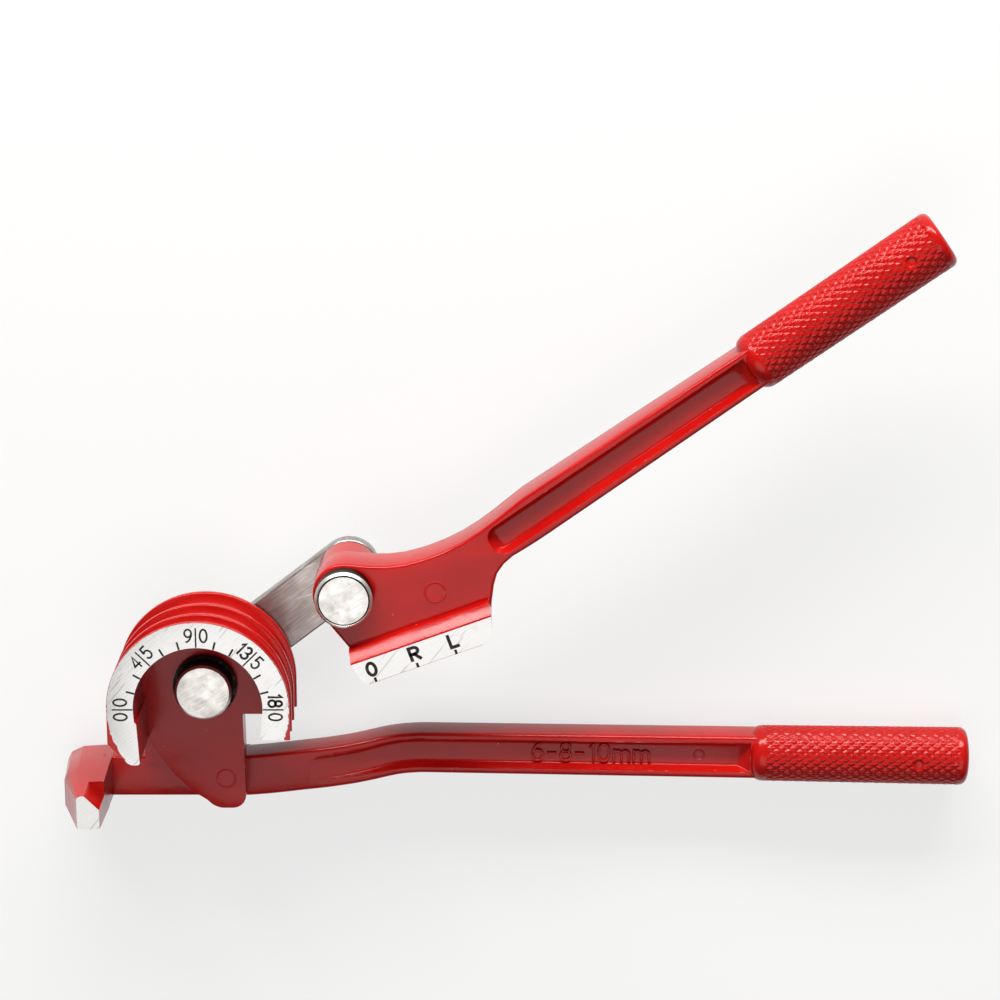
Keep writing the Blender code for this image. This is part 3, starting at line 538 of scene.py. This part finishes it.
bm = bmesh.new()
labels = {0: ("0", "0"), 45: ("4", "5"), 90: ("9", "0"), 135: ("13", "5"), 180: ("18", "0")}
for value in range(0, 181, 15):
    turn = math.radians(90 - value)
    place = Matrix.Rotation(turn, 4, "Z")
    if value not in labels:
        bar_mark(bm, place, tick_foot, short_tick, 0.6)
        continue
    bar_mark(bm, place, tick_foot, long_tick, 0.46)
    before, after = labels[value]
    two_figures = len(before) > 1
    for text, shift, heavy in ((before, -3.0 if two_figures else -2.3, 0.74 if two_figures else 0.56),
                               (after, 2.3, 0.58)):
        number_place = place @ Matrix.Translation((shift, number_radius, 0))
        lettering(bm, text, number_place, number_height, number_width, heavy, letter_gap)
marks_object("dial_marks", bm, dial_face, "forming_body")

# Web and foot: the floor of the former's cup, which runs down to the block that carries the
# handle and the hook's arm. Same casting, same paint; a moulded disc marks an ejector pin.
web_front = 16.9
web_back = casting_back + 0.1
web_sink = 1.2
web_edge = 0.7
bar_back = -3.2
foot_top = -27.0
foot_end = -40.7
corners = arc((0, 0), cup_radius + web_sink, 180, 0, 48)
corners += [(cup_radius + web_sink, -free_leg), (11.2, -free_leg, 0.5), (11.7, foot_end, 4.2),
            (2.4, foot_end, 2.2), (-0.6, -37.9), (-4.5, -35.4), (-10.3, -29.7), (-14.8, -23.3),
            (-16.9, -19.7), (-18.6, -16.2), (-cup_radius - web_sink, -10.6)]
bm = outline_face(corners, web_back)
bmesh.ops.bisect_plane(bm, geom=bm.verts[:] + bm.edges[:] + bm.faces[:], dist=1e-5,
                       plane_co=(0, foot_top, 0), plane_no=(0, 1, 0))
raise_faces(bm, bm.faces[:], (0, 0, web_front - web_back))
bmesh.ops.recalc_face_normals(bm, faces=bm.faces)
foot_faces = [face for face in bm.faces if face.normal.z < -0.9 and middle_of(face).y < foot_top]
raise_faces(bm, foot_faces, (0, 0, bar_back - web_back))
bmesh.ops.recalc_face_normals(bm, faces=bm.faces)


def lies_level(edge):
    """Whether both ends of an edge are at one height."""
    return abs(edge.verts[0].co.z - edge.verts[1].co.z) < 0.01


rim = sharp_edges(bm, 50, lambda edge: lies_level(edge) and middle_of(edge).y < -10
                  and middle_of(edge).to_2d().length > cup_radius + web_sink + 0.05)
round_edges(bm, rim, web_edge)


def turned(profile, steps=96):
    """A solid of revolution about +Z from points (radius, height)."""
    bm = bmesh.new()
    verts = [bm.verts.new((radius, 0, height)) for radius, height in profile]
    edges = [bm.edges.new(pair) for pair in zip(verts, verts[1:])]
    bmesh.ops.spin(bm, geom=verts + edges, cent=(0, 0, 0), axis=(0, 0, 1), dvec=(0, 0, 0), angle=math.tau,
                   steps=steps, use_merge=True, use_duplicate=False)
    bmesh.ops.remove_doubles(bm, verts=bm.verts, dist=1e-4)
    bmesh.ops.recalc_face_normals(bm, faces=bm.faces)
    return bm


def add_shape(bm, other):
    """Puts another shape into the same mesh."""
    mesh = bpy.data.meshes.new("part")
    other.to_mesh(mesh)
    other.free()
    bm.from_mesh(mesh)
    bpy.data.meshes.remove(mesh)


def pin_mark(bm, x, y, height, radius, rise=0.22):
    """Adds a round ejector mark: a low ring with a slightly sunk middle."""
    mark = turned([(0, 0.06), (radius - 0.75, 0.04), (radius - 0.5, rise), (radius - 0.25, rise),
                   (radius, -0.1)], 36)
    bmesh.ops.translate(mark, verts=mark.verts, vec=(x, y, height))
    add_shape(bm, mark)


pin_mark(bm, 5.6, -31, web_front, 3.3)
finish_piece(new_object("web_and_foot", bm, paint), "forming_body", ("forming_handle",))

# Arm and hook: the flat arm runs behind the tube to a wall that holds the tube's tail. Its inner
# side is flat with a chamfered upper corner, its front tip is ground bare with the dial.
arm_top = -26.8
arm_bottom = -40.4
arm_edge = 0.8
bar_front = 8.0
hook_face = 30.85
hook_edge = 0.5
notch_width = 6.6
notch_drop = 7.4
notch_floor = 28.4
past = 2.0  # how far a cutter reaches past what it cuts
far_from_paint = 10.0


def loft(rings):
    """A closed solid through rings of points."""
    bm = bmesh.new()
    loops = []
    for ring in rings:
        verts = [bm.verts.new(point) for point in ring]
        loops.append([bm.edges.new(pair) for pair in zip(verts, verts[1:] + verts[:1])])
    for low, high in zip(loops, loops[1:]):
        bmesh.ops.bridge_loops(bm, edges=low + high)
    bmesh.ops.edgeloop_fill(bm, edges=loops[0])
    bmesh.ops.edgeloop_fill(bm, edges=loops[-1])
    bmesh.ops.recalc_face_normals(bm, faces=bm.faces)
    return bm


def hook_ring(height, outer, top, bottom, corner):
    """One section of the hook, its outer upper corner cut off."""
    return [(-hook_face, bottom, height), (-hook_face, top, height),
            (-outer + 2 * corner, top - corner / 4, height), (-outer + corner / 2, top - corner, height),
            (-outer, top - 2 * corner, height), (-outer, bottom, height)]


def all_bare(tree, place):
    """No paint remains anywhere on the hook's facet."""
    return summed(tree, far_from_paint * mm, 0.0)


hook = loft([hook_ring(bar_back, 46.5, arm_top, arm_bottom, 2.6),
             hook_ring(17.4, 44.7, arm_top - 0.4, arm_bottom + 0.5, 1.95),
             hook_ring(dial_face, hook_face + 6.8, arm_top - 0.8, arm_bottom + 2.0, 0.65)])
painted = sharp_edges(hook, 8, lambda edge: max(vert.co.z for vert in edge.verts) < dial_face - 0.01)
round_edges(hook, painted, hook_edge)
notch = [(-hook_face - notch_width, arm_top + 1.2), (past - hook_face, arm_top + 1.2),
         (past - hook_face, arm_top - notch_drop)]
hook = cut_with(hook, prism(notch, notch_floor, dial_face + past))
for face in hook.faces:
    if face.normal.z > 0.99 and middle_of(face).z > dial_face - 0.05:
        face.material_index = 1
ground_hook = ground_metal("ground_aluminium_hook", all_bare)
hook_piece = new_object("hook", hook, paint, ground_hook)
finish_piece(hook_piece, "forming_body", ("forming_handle",), 28)

corners = [(-34.5, arm_top - 0.3), (8, arm_top - 0.3), (8, arm_bottom + 0.3), (-34.5, arm_bottom + 0.3)]
bm = prism(corners, bar_back + 0.05, bar_front)
along = sharp_edges(bm, 50, lambda edge: abs(edge.verts[0].co.y - edge.verts[1].co.y) < 0.1)
round_edges(bm, along, arm_edge)
# A small web fills the corner between the arm and the former's longer leg.
corner = [(-20.4, -11.1), (-20.4, -28.5), (-11.2, -28.5), (-14.8, -23.6), (-17.1, -20.0),
          (-18.8, -16.5), (-18.8, -11.1)]
add_shape(bm, prism(corner, bar_back + 0.9, casting_back + 0.6))
finish_piece(new_object("hook_arm", bm, paint), "forming_body", ("forming_handle",))

# Forming bar: runs from the foot through a shallow joggle to the grip. A long recess along its
# front deepens through the joggle and ends in a short ramp.
handle_reach = 173.5
handle_drop = -27.7
handle_tilt = math.radians(-0.95)
bar_start = 8.0
bar_width = 13.4
bar_widening = 0.5
bar_corner = 1.2
recess_depth = 3.0
recess_half = 4.8
recess_start = 31.0
recess_full = 60.0
recess_pin = 153.3
lip_edge = 0.3
joggle_start = 11.5
joggle_length = 54.0
joggle_height = 8.6
# Shares of the joggle's length, each with the share of its height that is still to come.
joggle = ((0.0, 1.0), (0.15, 0.90), (0.30, 0.77), (0.45, 0.65), (0.60, 0.49), (0.71, 0.33), (0.81, 0.16),
          (0.89, 0.06), (1.0, 0.0))


def read_table(table, position):
    """Reads a table between its rows."""
    for (low, first), (high, second) in zip(table, table[1:]):
        if position <= high:
            return first + (second - first) * max(position - low, 0) / (high - low)
    return table[-1][1]


def forming_line(x):
    """Height in the picture plane of the bar's middle at a distance along it."""
    shares = [(x + shift - joggle_start) / joggle_length for shift in (-1.5, 0, 1.5)]
    rise = sum(read_table(joggle, share) for share in shares) / len(shares)
    return handle_drop + (handle_reach - x) * math.tan(-handle_tilt) - joggle_height * rise


def forming_turn(x):
    """Direction of the bar's middle line."""
    return math.atan2(forming_line(x + 1) - forming_line(x - 1), 2)


def bar_through(stations, corner):
    """A bar with rounded long edges through stations (x, y, direction, width, back, front)."""
    rings = []
    for x, y, turn, width, back, front in stations:
        half, tall = width / 2 - corner, (front - back) / 2 - corner
        ring = []
        centres = ((half, tall), (-half, tall), (-half, -tall), (half, -tall))
        for quarter, centre in enumerate(centres):
            ring += arc(centre, corner, 90 * quarter, 90 * quarter + 90, 4)
        rings.append([(x - math.sin(turn) * across, y + math.cos(turn) * across, (front + back) / 2 + up)
                      for across, up in ring])
    return loft(rings)


def recess_through(stations, front, draft=1.1, fillet=1.0):
    """A cutter for a recess through stations (x, y, direction, half width, depth)."""
    rings = []
    for x, y, turn, half, depth in stations:
        round_off = min(fillet, depth * 0.7)
        centre = (half - draft * depth / 3 - round_off, round_off - depth)
        side = [(half + 0.4, 1.1)] + arc(centre, round_off, -18, -90, 4)
        ring = side + [(-across, up) for across, up in reversed(side)]
        rings.append([(x - math.sin(turn) * across, y + math.cos(turn) * across, front + up)
                      for across, up in ring])
    return loft(rings)


joggle_end = joggle_start + joggle_length
places = [bar_start] + [joggle_start + joggle_length * step / 24 for step in range(25)]
stations = []
for x in places + [68, 90, 115, 140, 160, 169.5, handle_reach]:
    share = min(max((x - joggle_end) / (handle_reach - joggle_end), 0), 1)
    width = bar_width + bar_widening * share
    stations.append((x, forming_line(x), forming_turn(x), width, bar_back, bar_front))
bm = bar_through(stations, bar_corner)
rows = []
for step in range(13):
    share = step / 12
    rows.append((recess_start + (recess_full - recess_start) * share ** 1.2, 3.0 + 1.8 * share ** 0.6,
                 0.05 + (recess_depth - 0.05) * share ** 1.3))
rows += [(x, recess_half, recess_depth) for x in (64, 68, 90, 115, 140, 165.4)]
rows.append((169.2, recess_half, 0.3))
stations = [(x, forming_line(x), forming_turn(x), half, depth) for x, half, depth in rows]
bm = cut_with(bm, recess_through(stations, bar_front))


def is_lip(edge, front, start, end, line):
    """Whether an edge is where the recess opens in the bar's front."""
    spot = middle_of(edge)
    return spot.z > front - 0.02 and start < spot.x < end and abs(spot.y - line(spot.x)) < 5.6


lips = sharp_edges(bm, 35, lambda edge: is_lip(edge, bar_front, 33, 170, forming_line))
round_edges(bm, lips, lip_edge, 2)
pin_mark(bm, recess_pin, forming_line(recess_pin) - 0.2, bar_front - recess_depth, 1.9, 0.3)
bar = new_object("forming_bar", bm, paint)
finish_piece(bar, "forming_body", ("forming_handle",), 40)

# Raised lettering: the three tube sizes, cast on the floor of the forming bar's recess. The
# letters are rounded by the mould and partly filled by the paint.
lettering_middle = 119.3
lettering_root = bar_front - recess_depth - 0.1
lettering_height = 5.6
lettering_width = 6.0
lettering_stroke = 0.85
lettering_relief = 0.95
bm = bmesh.new()
place = (Matrix.Translation((lettering_middle, forming_line(lettering_middle) + 0.2, 0))
         @ Matrix.Rotation(forming_turn(lettering_middle), 4, "Z"))
lettering(bm, "6-8-10mm", place, lettering_height, lettering_width, lettering_stroke, 1.5)
bmesh.ops.translate(bm, verts=bm.verts, vec=(0, 0, lettering_root))
raise_faces(bm, bm.faces[:], (0, 0, lettering_relief))
bmesh.ops.recalc_face_normals(bm, faces=bm.faces)
upper = sharp_edges(bm, 60, lambda edge: min(vert.co.z for vert in edge.verts) > lettering_root + 0.6)
round_edges(bm, upper, 0.3, 2)
raised = new_object("size_lettering", bm, paint)
finish_piece(raised, "forming_body", ("forming_handle",), 60)

# Grips: cast rods with a diamond knurl, a plain rounded shoulder where the bar runs in, and a
# round pit near the end where the mould's ejector pin stood.
knurl_starts = 24
knurl_pitch = 3.6
knurl_depth = 0.42
knurl_end = 61.4
knurl_rows = 168
grip_length = 64.0
grip_neck = 5.2
grip_radius = 8.8
grip_flare = 0.3
grip_rounding = 2.2
shoulder_length = 4.2
pit_radius = 2.0
pit_floor = 8.15


def knurl(turn, distance, grip_start, grip_end):
    """Height share of the knurl: pillows between two families of helical grooves."""
    round_share = turn / math.tau * knurl_starts
    along = distance / knurl_pitch
    families = (round_share + along, round_share - along)
    pillows = [1 - abs(2 * (value % 1.0) - 1) ** 2.6 for value in families]
    fade = min(max((distance - grip_start) / 1.2, 0), 1) * min(max((grip_end - distance) / 0.8, 0), 1)
    return 1 - fade * (1 - min(pillows))


def grip_bmesh(place, pit):
    """A knurled grip along local +Z; pit is (turn, distance) of the round mark."""
    end_rounding = grip_length - grip_rounding
    profile = [(0, -shoulder_length)]
    for step in range(19):
        turn = math.radians(5 * step)
        profile.append((grip_neck + (grip_radius - grip_neck) * math.sin(turn),
                        -shoulder_length * math.cos(turn)))
    profile += [(grip_radius + grip_flare * step / knurl_rows, end_rounding * step / knurl_rows)
                for step in range(1, knurl_rows)]
    profile += arc((grip_radius + grip_flare - grip_rounding, end_rounding), grip_rounding, 0, 90, 6)
    profile.append((0, grip_length))
    bm = turned(profile, 192)
    for vert in bm.verts:
        radius = vert.co.to_2d().length
        if radius > 8.0 and -1.5 < vert.co.z < end_rounding + 0.1:
            turn = math.atan2(vert.co.y, vert.co.x)
            height = knurl(turn, vert.co.z, -0.6 - 0.8 * math.cos(turn), knurl_end)
            lowered = radius - knurl_depth * (1 - height)
            round_way = ((turn - pit[0] + math.pi) % math.tau - math.pi) * (grip_radius + 0.2)
            away = math.hypot(round_way, vert.co.z - pit[1])
            if away < pit_radius:
                wall = min(max((away - 1.3) / 0.5, 0), 1)
                lowered = lowered * wall + (pit_floor + 0.1 * away) * (1 - wall)
            vert.co.x *= lowered / radius
            vert.co.y *= lowered / radius
    bmesh.ops.transform(bm, matrix=place, verts=bm.verts)
    return bm


def grip_place(x, y, turn, height):
    """Lays a grip along a bar: its local +Z runs along the bar, its local +X faces down."""
    lay = Matrix.Rotation(math.radians(90), 4, "Y")
    return Matrix.Translation((x, y, height)) @ Matrix.Rotation(turn, 4, "Z") @ lay


place = grip_place(handle_reach, handle_drop, handle_tilt, 2.8)
grip = new_object("forming_grip", grip_bmesh(place, (math.pi, 48.0)), paint)
finish_piece(grip, "forming_body", ("forming_handle",), 60)

# Washers: flat rings of blackened spring steel, two between the link and the castings and one under the
# former's rivet. They keep their solids' shape; the black is worn to grey in spots.
# On the washer under the former's rivet the black is also painted shade: it stands in for the shaded ring
# around the rivet's head.
blackened_steel_and_painted_shade, tree, output = new_material("black_steel_and_painted_shade")
place = add_node(tree, "ShaderNodeTexCoord").outputs["Object"]
rub = steps_of(tree, noise(tree, place, 1.43, 3.0), 0.55, 0.75)
shader = add_node(tree, "ShaderNodeBsdfPrincipled", inputs={"Metallic": 1.0},
                  links={"Base Color": mixed(tree, rub, linear("#1E1A18"), linear("#4B4440")),
                         "Roughness": steps_of(tree, rub, 0.0, 1.0, 0.5, 0.38)})
tree.links.new(shader.outputs[0], output.inputs["Surface"])
# The black of the washer under the former's rivet is painted shade for the dark ring around the head.
for name in ("former_head_washer", "former_thrust_washer", "lever_thrust_washer"):
    for material_slot in bpy.data.objects[name].material_slots:
        material_slot.material = blackened_steel_and_painted_shade

# Link: a blanked steel bar with round ends that joins the two pivots. Its rim is rounded by
# tumbling, its face is satin with fine grain along it and small rub marks.
satin, tree, output = new_material("tumbled_satin_steel")
place = add_node(tree, "ShaderNodeTexCoord").outputs["Object"]
grain = noise(tree, place, 6.67, 3.0, 0.526, math.radians(-37.7))
cloud = noise(tree, place, 8.33, 4.0)
nicks = steps_of(tree, noise(tree, place, 11.1, 1.0, 1.0, math.radians(-20)), 0.68, 0.71)
steel = mixed(tree, steps_of(tree, grain, 0.35, 0.65), linear("#A59B96"), linear("#BFB7B2"))
steel = mixed(tree, steps_of(tree, cloud, 0.45, 0.75, 0.0, 0.45), steel, linear("#8F827C"))
steel = mixed(tree, summed(tree, nicks, 0.4, "MULTIPLY"), steel, linear("#E2DEDA"))
relief = bump(tree, grain, 0.03, 0.4)
relief = bump(tree, nicks, 0.04, -0.4, relief)
shader = add_node(tree, "ShaderNodeBsdfPrincipled", inputs={"Metallic": 1.0},
                  links={"Base Color": steel, "Normal": relief,
                         "Roughness": steps_of(tree, cloud, 0.3, 0.7, 0.30, 0.44)})
tree.links.new(shader.outputs[0], output.inputs["Surface"])


def rod(x, radius, low, high):
    """A plain upright cylinder between two heights."""
    bm = bmesh.new()
    bmesh.ops.create_cone(bm, cap_ends=True, segments=48, radius1=radius, radius2=radius,
                          depth=high - low, matrix=Matrix.Translation((x, 0, (low + high) / 2)))
    return bm


pivot = Vector((44.2294, 34.1844, 0))
link_radius = 9.2
link_back = 1.9
link_front = 6.9
bore_radius = 5.8
outline = arc((0, 0), link_radius, 90, 270, 40) + arc((pivot.length, 0), link_radius, -90, 90, 40)
bm = prism(outline, link_back, link_front)
round_edges(bm, sharp_edges(bm, 50), 0.7, 4)
for x in (0, pivot.length):
    bm = cut_with(bm, rod(x, bore_radius, link_back - past, link_front + past))
bmesh.ops.transform(bm, matrix=Matrix.Rotation(math.atan2(pivot.y, pivot.x), 4, "Z"), verts=bm.verts)
finish_piece(new_object("link", bm, satin), "link_body", ("link_plate",))

# Rivets: thick flat heads, faced on a lathe to bright steel. Their sides are coloured black as painted
# shade, for the shade in the former's cup and the dark surroundings they reflect. Their tails are peened
# over the link at the back.
bright, tree, output = new_material("turned_bright_steel")
place = add_node(tree, "ShaderNodeTexCoord").outputs["Object"]
patch = noise(tree, place, 3.85, 4.0)
fine = noise(tree, place, 6.25, 2.0, 0.417, math.radians(-30))
pits = steps_of(tree, noise(tree, place, 0.77), 0.68, 0.74)
face = mixed(tree, steps_of(tree, patch, 0.4, 0.7), linear("#F0EDE8"), linear("#D9D4CC"))
face = mixed(tree, steps_of(tree, fine, 0.55, 0.75, 0.0, 0.5), face, linear("#AFA79E"))
face = mixed(tree, summed(tree, pits, 0.5, "MULTIPLY"), face, linear("#8F877E"))
relief = bump(tree, fine, 0.03, 0.4)
relief = bump(tree, pits, 0.04, -0.5, relief)
shader = add_node(tree, "ShaderNodeBsdfPrincipled", inputs={"Metallic": 1.0},
                  links={"Base Color": face, "Normal": relief,
                         "Roughness": steps_of(tree, patch, 0.3, 0.7, 0.36, 0.48)})
tree.links.new(shader.outputs[0], output.inputs["Surface"])

shank_radius = 5.5
head_radius = 8.7
tail_radius = 7.5
tail_top = 1.6
ring_outer = 7.75
ring_inner = 7.5


def rivet(name, head_low, head_high, body, node, place, ring):
    """A rivet; ring is the depth of the fine groove that the facing tool left inside the rim. The
    head's side, and the groove where it is deeper than 0.1 mm, are coloured black as painted shade."""
    tail = [(0, 0.02), (3.6, 0.05), (5.6, 0.0), (6.9, 0.45), (tail_radius, 1.1), (tail_radius, 1.58),
            (shank_radius, tail_top), (shank_radius, head_low)]
    head = [(8.4, head_low), (head_radius, head_low + 0.3), (head_radius, head_high - 0.85),
            (8.55, head_high - 0.55), (7.95, head_high - 0.04)]
    top = [(ring_outer, head_high - ring), (ring_inner, head_high - ring), (7.35, head_high - 0.02),
           (4.0, head_high - 0.02), (0, head_high - 0.03)]
    bm = turned(tail + head + top)
    for face in bm.faces:
        reach = max(vert.co.to_2d().length for vert in face.verts)
        height = middle_of(face).z
        # The head's side and a deep groove get the black material: painted shade, not the steel's own
        # colour.
        side = tail_top - 0.1 < height < head_high - 0.9
        groove = ring > 0.1 and ring_inner - 0.1 < reach < ring_outer + 0.05 and height > head_high - 1
        face.material_index = 1 if side or groove else 0
    bmesh.ops.transform(bm, matrix=place, verts=bm.verts)
    finish_piece(new_object(name, bm, bright, blackened_steel_and_painted_shade), body, (node,), 25)


rivet("former_rivet_turned", head_low=19.6, head_high=25.2, body="forming_body", node="former_rivet",
      place=Matrix(), ring=0.03)

# Lever: the second casting. Its plate carries the boss on the pivot, the shoe with the same three
# grooves in a straight line, and the bar to the grip. Drawn about its pivot, then put in place.
lever_turn = math.radians(20)
lever_place = Matrix.Translation(pivot) @ Matrix.Rotation(lever_turn, 4, "Z")
rivet("lever_rivet_turned", head_low=34.7, head_high=40.3, body="link_body", node="lever_rivet",
      place=lever_place, ring=0.16)
plate_front = 34.4
plate_back = 19.4
plate_edge = 1.0
boss_radius = 9.2
lever_angle = math.radians(15)
lever_reach = 139.5
lever_rise = 24.2
lever_half = 6.1
lever_recess_half = 4.6
lever_recess_start = 46.5
thinning = 2.2
thinning_start = 58.0
shoe_top = -19.3


def lever_line(x):
    """Middle of the lever's bar in the lever's own frame."""
    return lever_rise - (lever_reach - x) * math.tan(lever_angle)


def beside(x, across):
    """A point beside the bar's middle line."""
    return (x - math.sin(lever_angle) * across, lever_line(x) + math.cos(lever_angle) * across)


# The outline: the bar's half width at a few distances, the neck above it and the heel below it.
widths = ((62.0, 6.75), (80, 6.6), (100, 6.45), (120, 6.25), (lever_reach, lever_half))
neck = [(10.1, 5.8), (14.9, 4.0), (20.2, 2.8), (26.4, 2.3), (32.6, 2.5), (38.4, 3.2), (44.2, 4.5),
        (49.5, 6.15), (54.7, 8.0)] + [beside(x, half) for x, half in widths]
heel = [beside(x, -half) for x, half in reversed(widths)]
heel += [(59.5, -4.2), (55.2, -5.2), (51.4, -6.0), (48.0, -7.4), (45.1, -9.5), (43.0, -12.5),
         (39.5, shoe_top), (-3.6, shoe_top)]
bm = prism(heel + arc((0, 0), boss_radius + 0.4, 200, 60, 28) + neck, plate_back, plate_front)
# The bar grows thinner towards the grip, from its back.
for vert in bm.verts:
    if vert.co.z < plate_back + 1 and vert.co.x > thinning_start:
        vert.co.z += thinning * (vert.co.x - thinning_start) / (lever_reach - thinning_start)
rim = sharp_edges(bm, 50, lambda edge: abs(edge.verts[0].co.z - edge.verts[1].co.z) < 1
                  and middle_of(edge).x < lever_reach - 1.5 and middle_of(edge).y > shoe_top + 0.3)
round_edges(bm, rim, plate_edge, 4)
stations = []
for step in range(9):
    turn = math.radians(90 * step / 8)
    x = lever_recess_start + 3.6 * (1 - math.cos(turn))
    half = 1.0 + (lever_recess_half - 1.0) * math.sin(turn)
    depth = 0.15 + (recess_depth - 0.15) * math.sin(turn)
    stations.append((x, lever_line(x), lever_angle, half, depth))
for x in (60, 80, 100, 120, 131.9):
    stations.append((x, lever_line(x), lever_angle, lever_recess_half, recess_depth))
stations.append((136.2, lever_line(136.2), lever_angle, lever_recess_half, 0.3))
bm = cut_with(bm, recess_through(stations, plate_front))
lips = sharp_edges(bm, 35, lambda edge: is_lip(edge, plate_front, 46, 137, lever_line))
round_edges(bm, lips, lip_edge, 2)
boss_front = plate_front - 1.2
boss = turned([(0, casting_back), (boss_radius - 0.5, casting_back), (boss_radius, casting_back + 0.5),
               (boss_radius, boss_front), (0, boss_front)], 64)
add_shape(bm, boss)
pin_mark(bm, 25.8, -8.4, plate_front, 3.5)
bmesh.ops.transform(bm, matrix=lever_place, verts=bm.verts)
plate = new_object("lever_plate_and_bar", bm, paint)
finish_piece(plate, "lever_body", ("lever_handle",))

# Shoe: the grooved block that wipes the tube round the former. Its front strip is ground bare and
# carries the start mark and one for each bending direction.
shoe_face = -27.0
shoe_back = 9.05
strip_width = 7.6


def above_strip(tree, place):
    """How far below the painted slope's edge a place on the shoe's front strip lies."""
    across = Vector((-math.sin(lever_turn), math.cos(lever_turn), 0))
    limit = (pivot.dot(across) + shoe_face + strip_width) * mm
    reach = add_node(tree, "ShaderNodeVectorMath", {"operation": "DOT_PRODUCT"}, {1: across}, {0: place})
    return summed(tree, limit, reach.outputs["Value"], "SUBTRACT")


ground_shoe = ground_metal("ground_aluminium_shoe", above_strip)
land = shoe_face + strip_width + 0.1
slope_end = land + 3.3
shoe_root = shoe_face + 12
section = [(shoe_face, dial_face, 0.12), (land, dial_face, 0.3), (slope_end, dial_face - 3.3, 0.4),
           (slope_end + 0.2, plate_front - 1), (shoe_root, plate_front - 1), (shoe_root, shoe_back + 4),
           (slope_end, shoe_back + 3.3, 0.4), (land, shoe_back, 0.3), (shoe_face, shoe_back, 0.4)]
for groove_height, groove_radius in reversed(grooves):
    points = arc((shoe_face, groove_height), groove_radius, -90, 90, 16)
    section += [points[0] + (crest,)] + points[1:-1] + [points[-1] + (crest,)]
bm = outline_face(section, segments=3)
upright = Matrix(((0, 0, 1, -12), (1, 0, 0, 0), (0, 1, 0, 0), (0, 0, 0, 1)))
bmesh.ops.transform(bm, matrix=upright, verts=bm.verts)
raise_faces(bm, bm.faces[:], (60, 0, 0))
bmesh.ops.recalc_face_normals(bm, faces=bm.faces)
plan = prism([(-1.8, -27.2, 1.2), (34.6, -27.2, 1.6), (38.0, -24.4, 1.5), (39.6, shoe_top),
              (40.2, shoe_root), (-4.4, shoe_root), (-5.2, -19.6, 0.8), (-3.5, -26.3, 1.0)], -5, 55)
bm = cut_with(bm, plan, "INTERSECT")
for face in bm.faces:
    if face.normal.z > 0.99 and middle_of(face).z > dial_face - 0.05:
        face.material_index = 1
bmesh.ops.transform(bm, matrix=lever_place, verts=bm.verts)
finish_piece(new_object("shoe", bm, paint, ground_shoe), "lever_body", ("lever_handle",))

# The shoe's marks: 0 is the start mark, R and L are for the two bending directions.
bm = bmesh.new()
for letter, x, y in (("0", 0.3, -22.8), ("R", 14.1, -22.6), ("L", 26.3, -22.7)):
    lettering(bm, letter, Matrix.Translation((x, y, 0)), 3.9, 4.6, 1.0, letter_gap)
for x in (0.3, 13.7, 25.9):
    bar_mark(bm, Matrix.Translation((x, 0, 0)), shoe_face + 0.2, shoe_face + 1.2, 0.8)
marks_object("shoe_marks", bm, dial_face, "lever_body", lever_place)

place = lever_place @ grip_place(lever_reach, lever_rise, lever_angle, plate_front - 6.8)
grip = new_object("lever_grip", grip_bmesh(place, (math.pi - 0.1, 52.4)), paint)
finish_piece(grip, "lever_body", ("lever_handle",), 60)
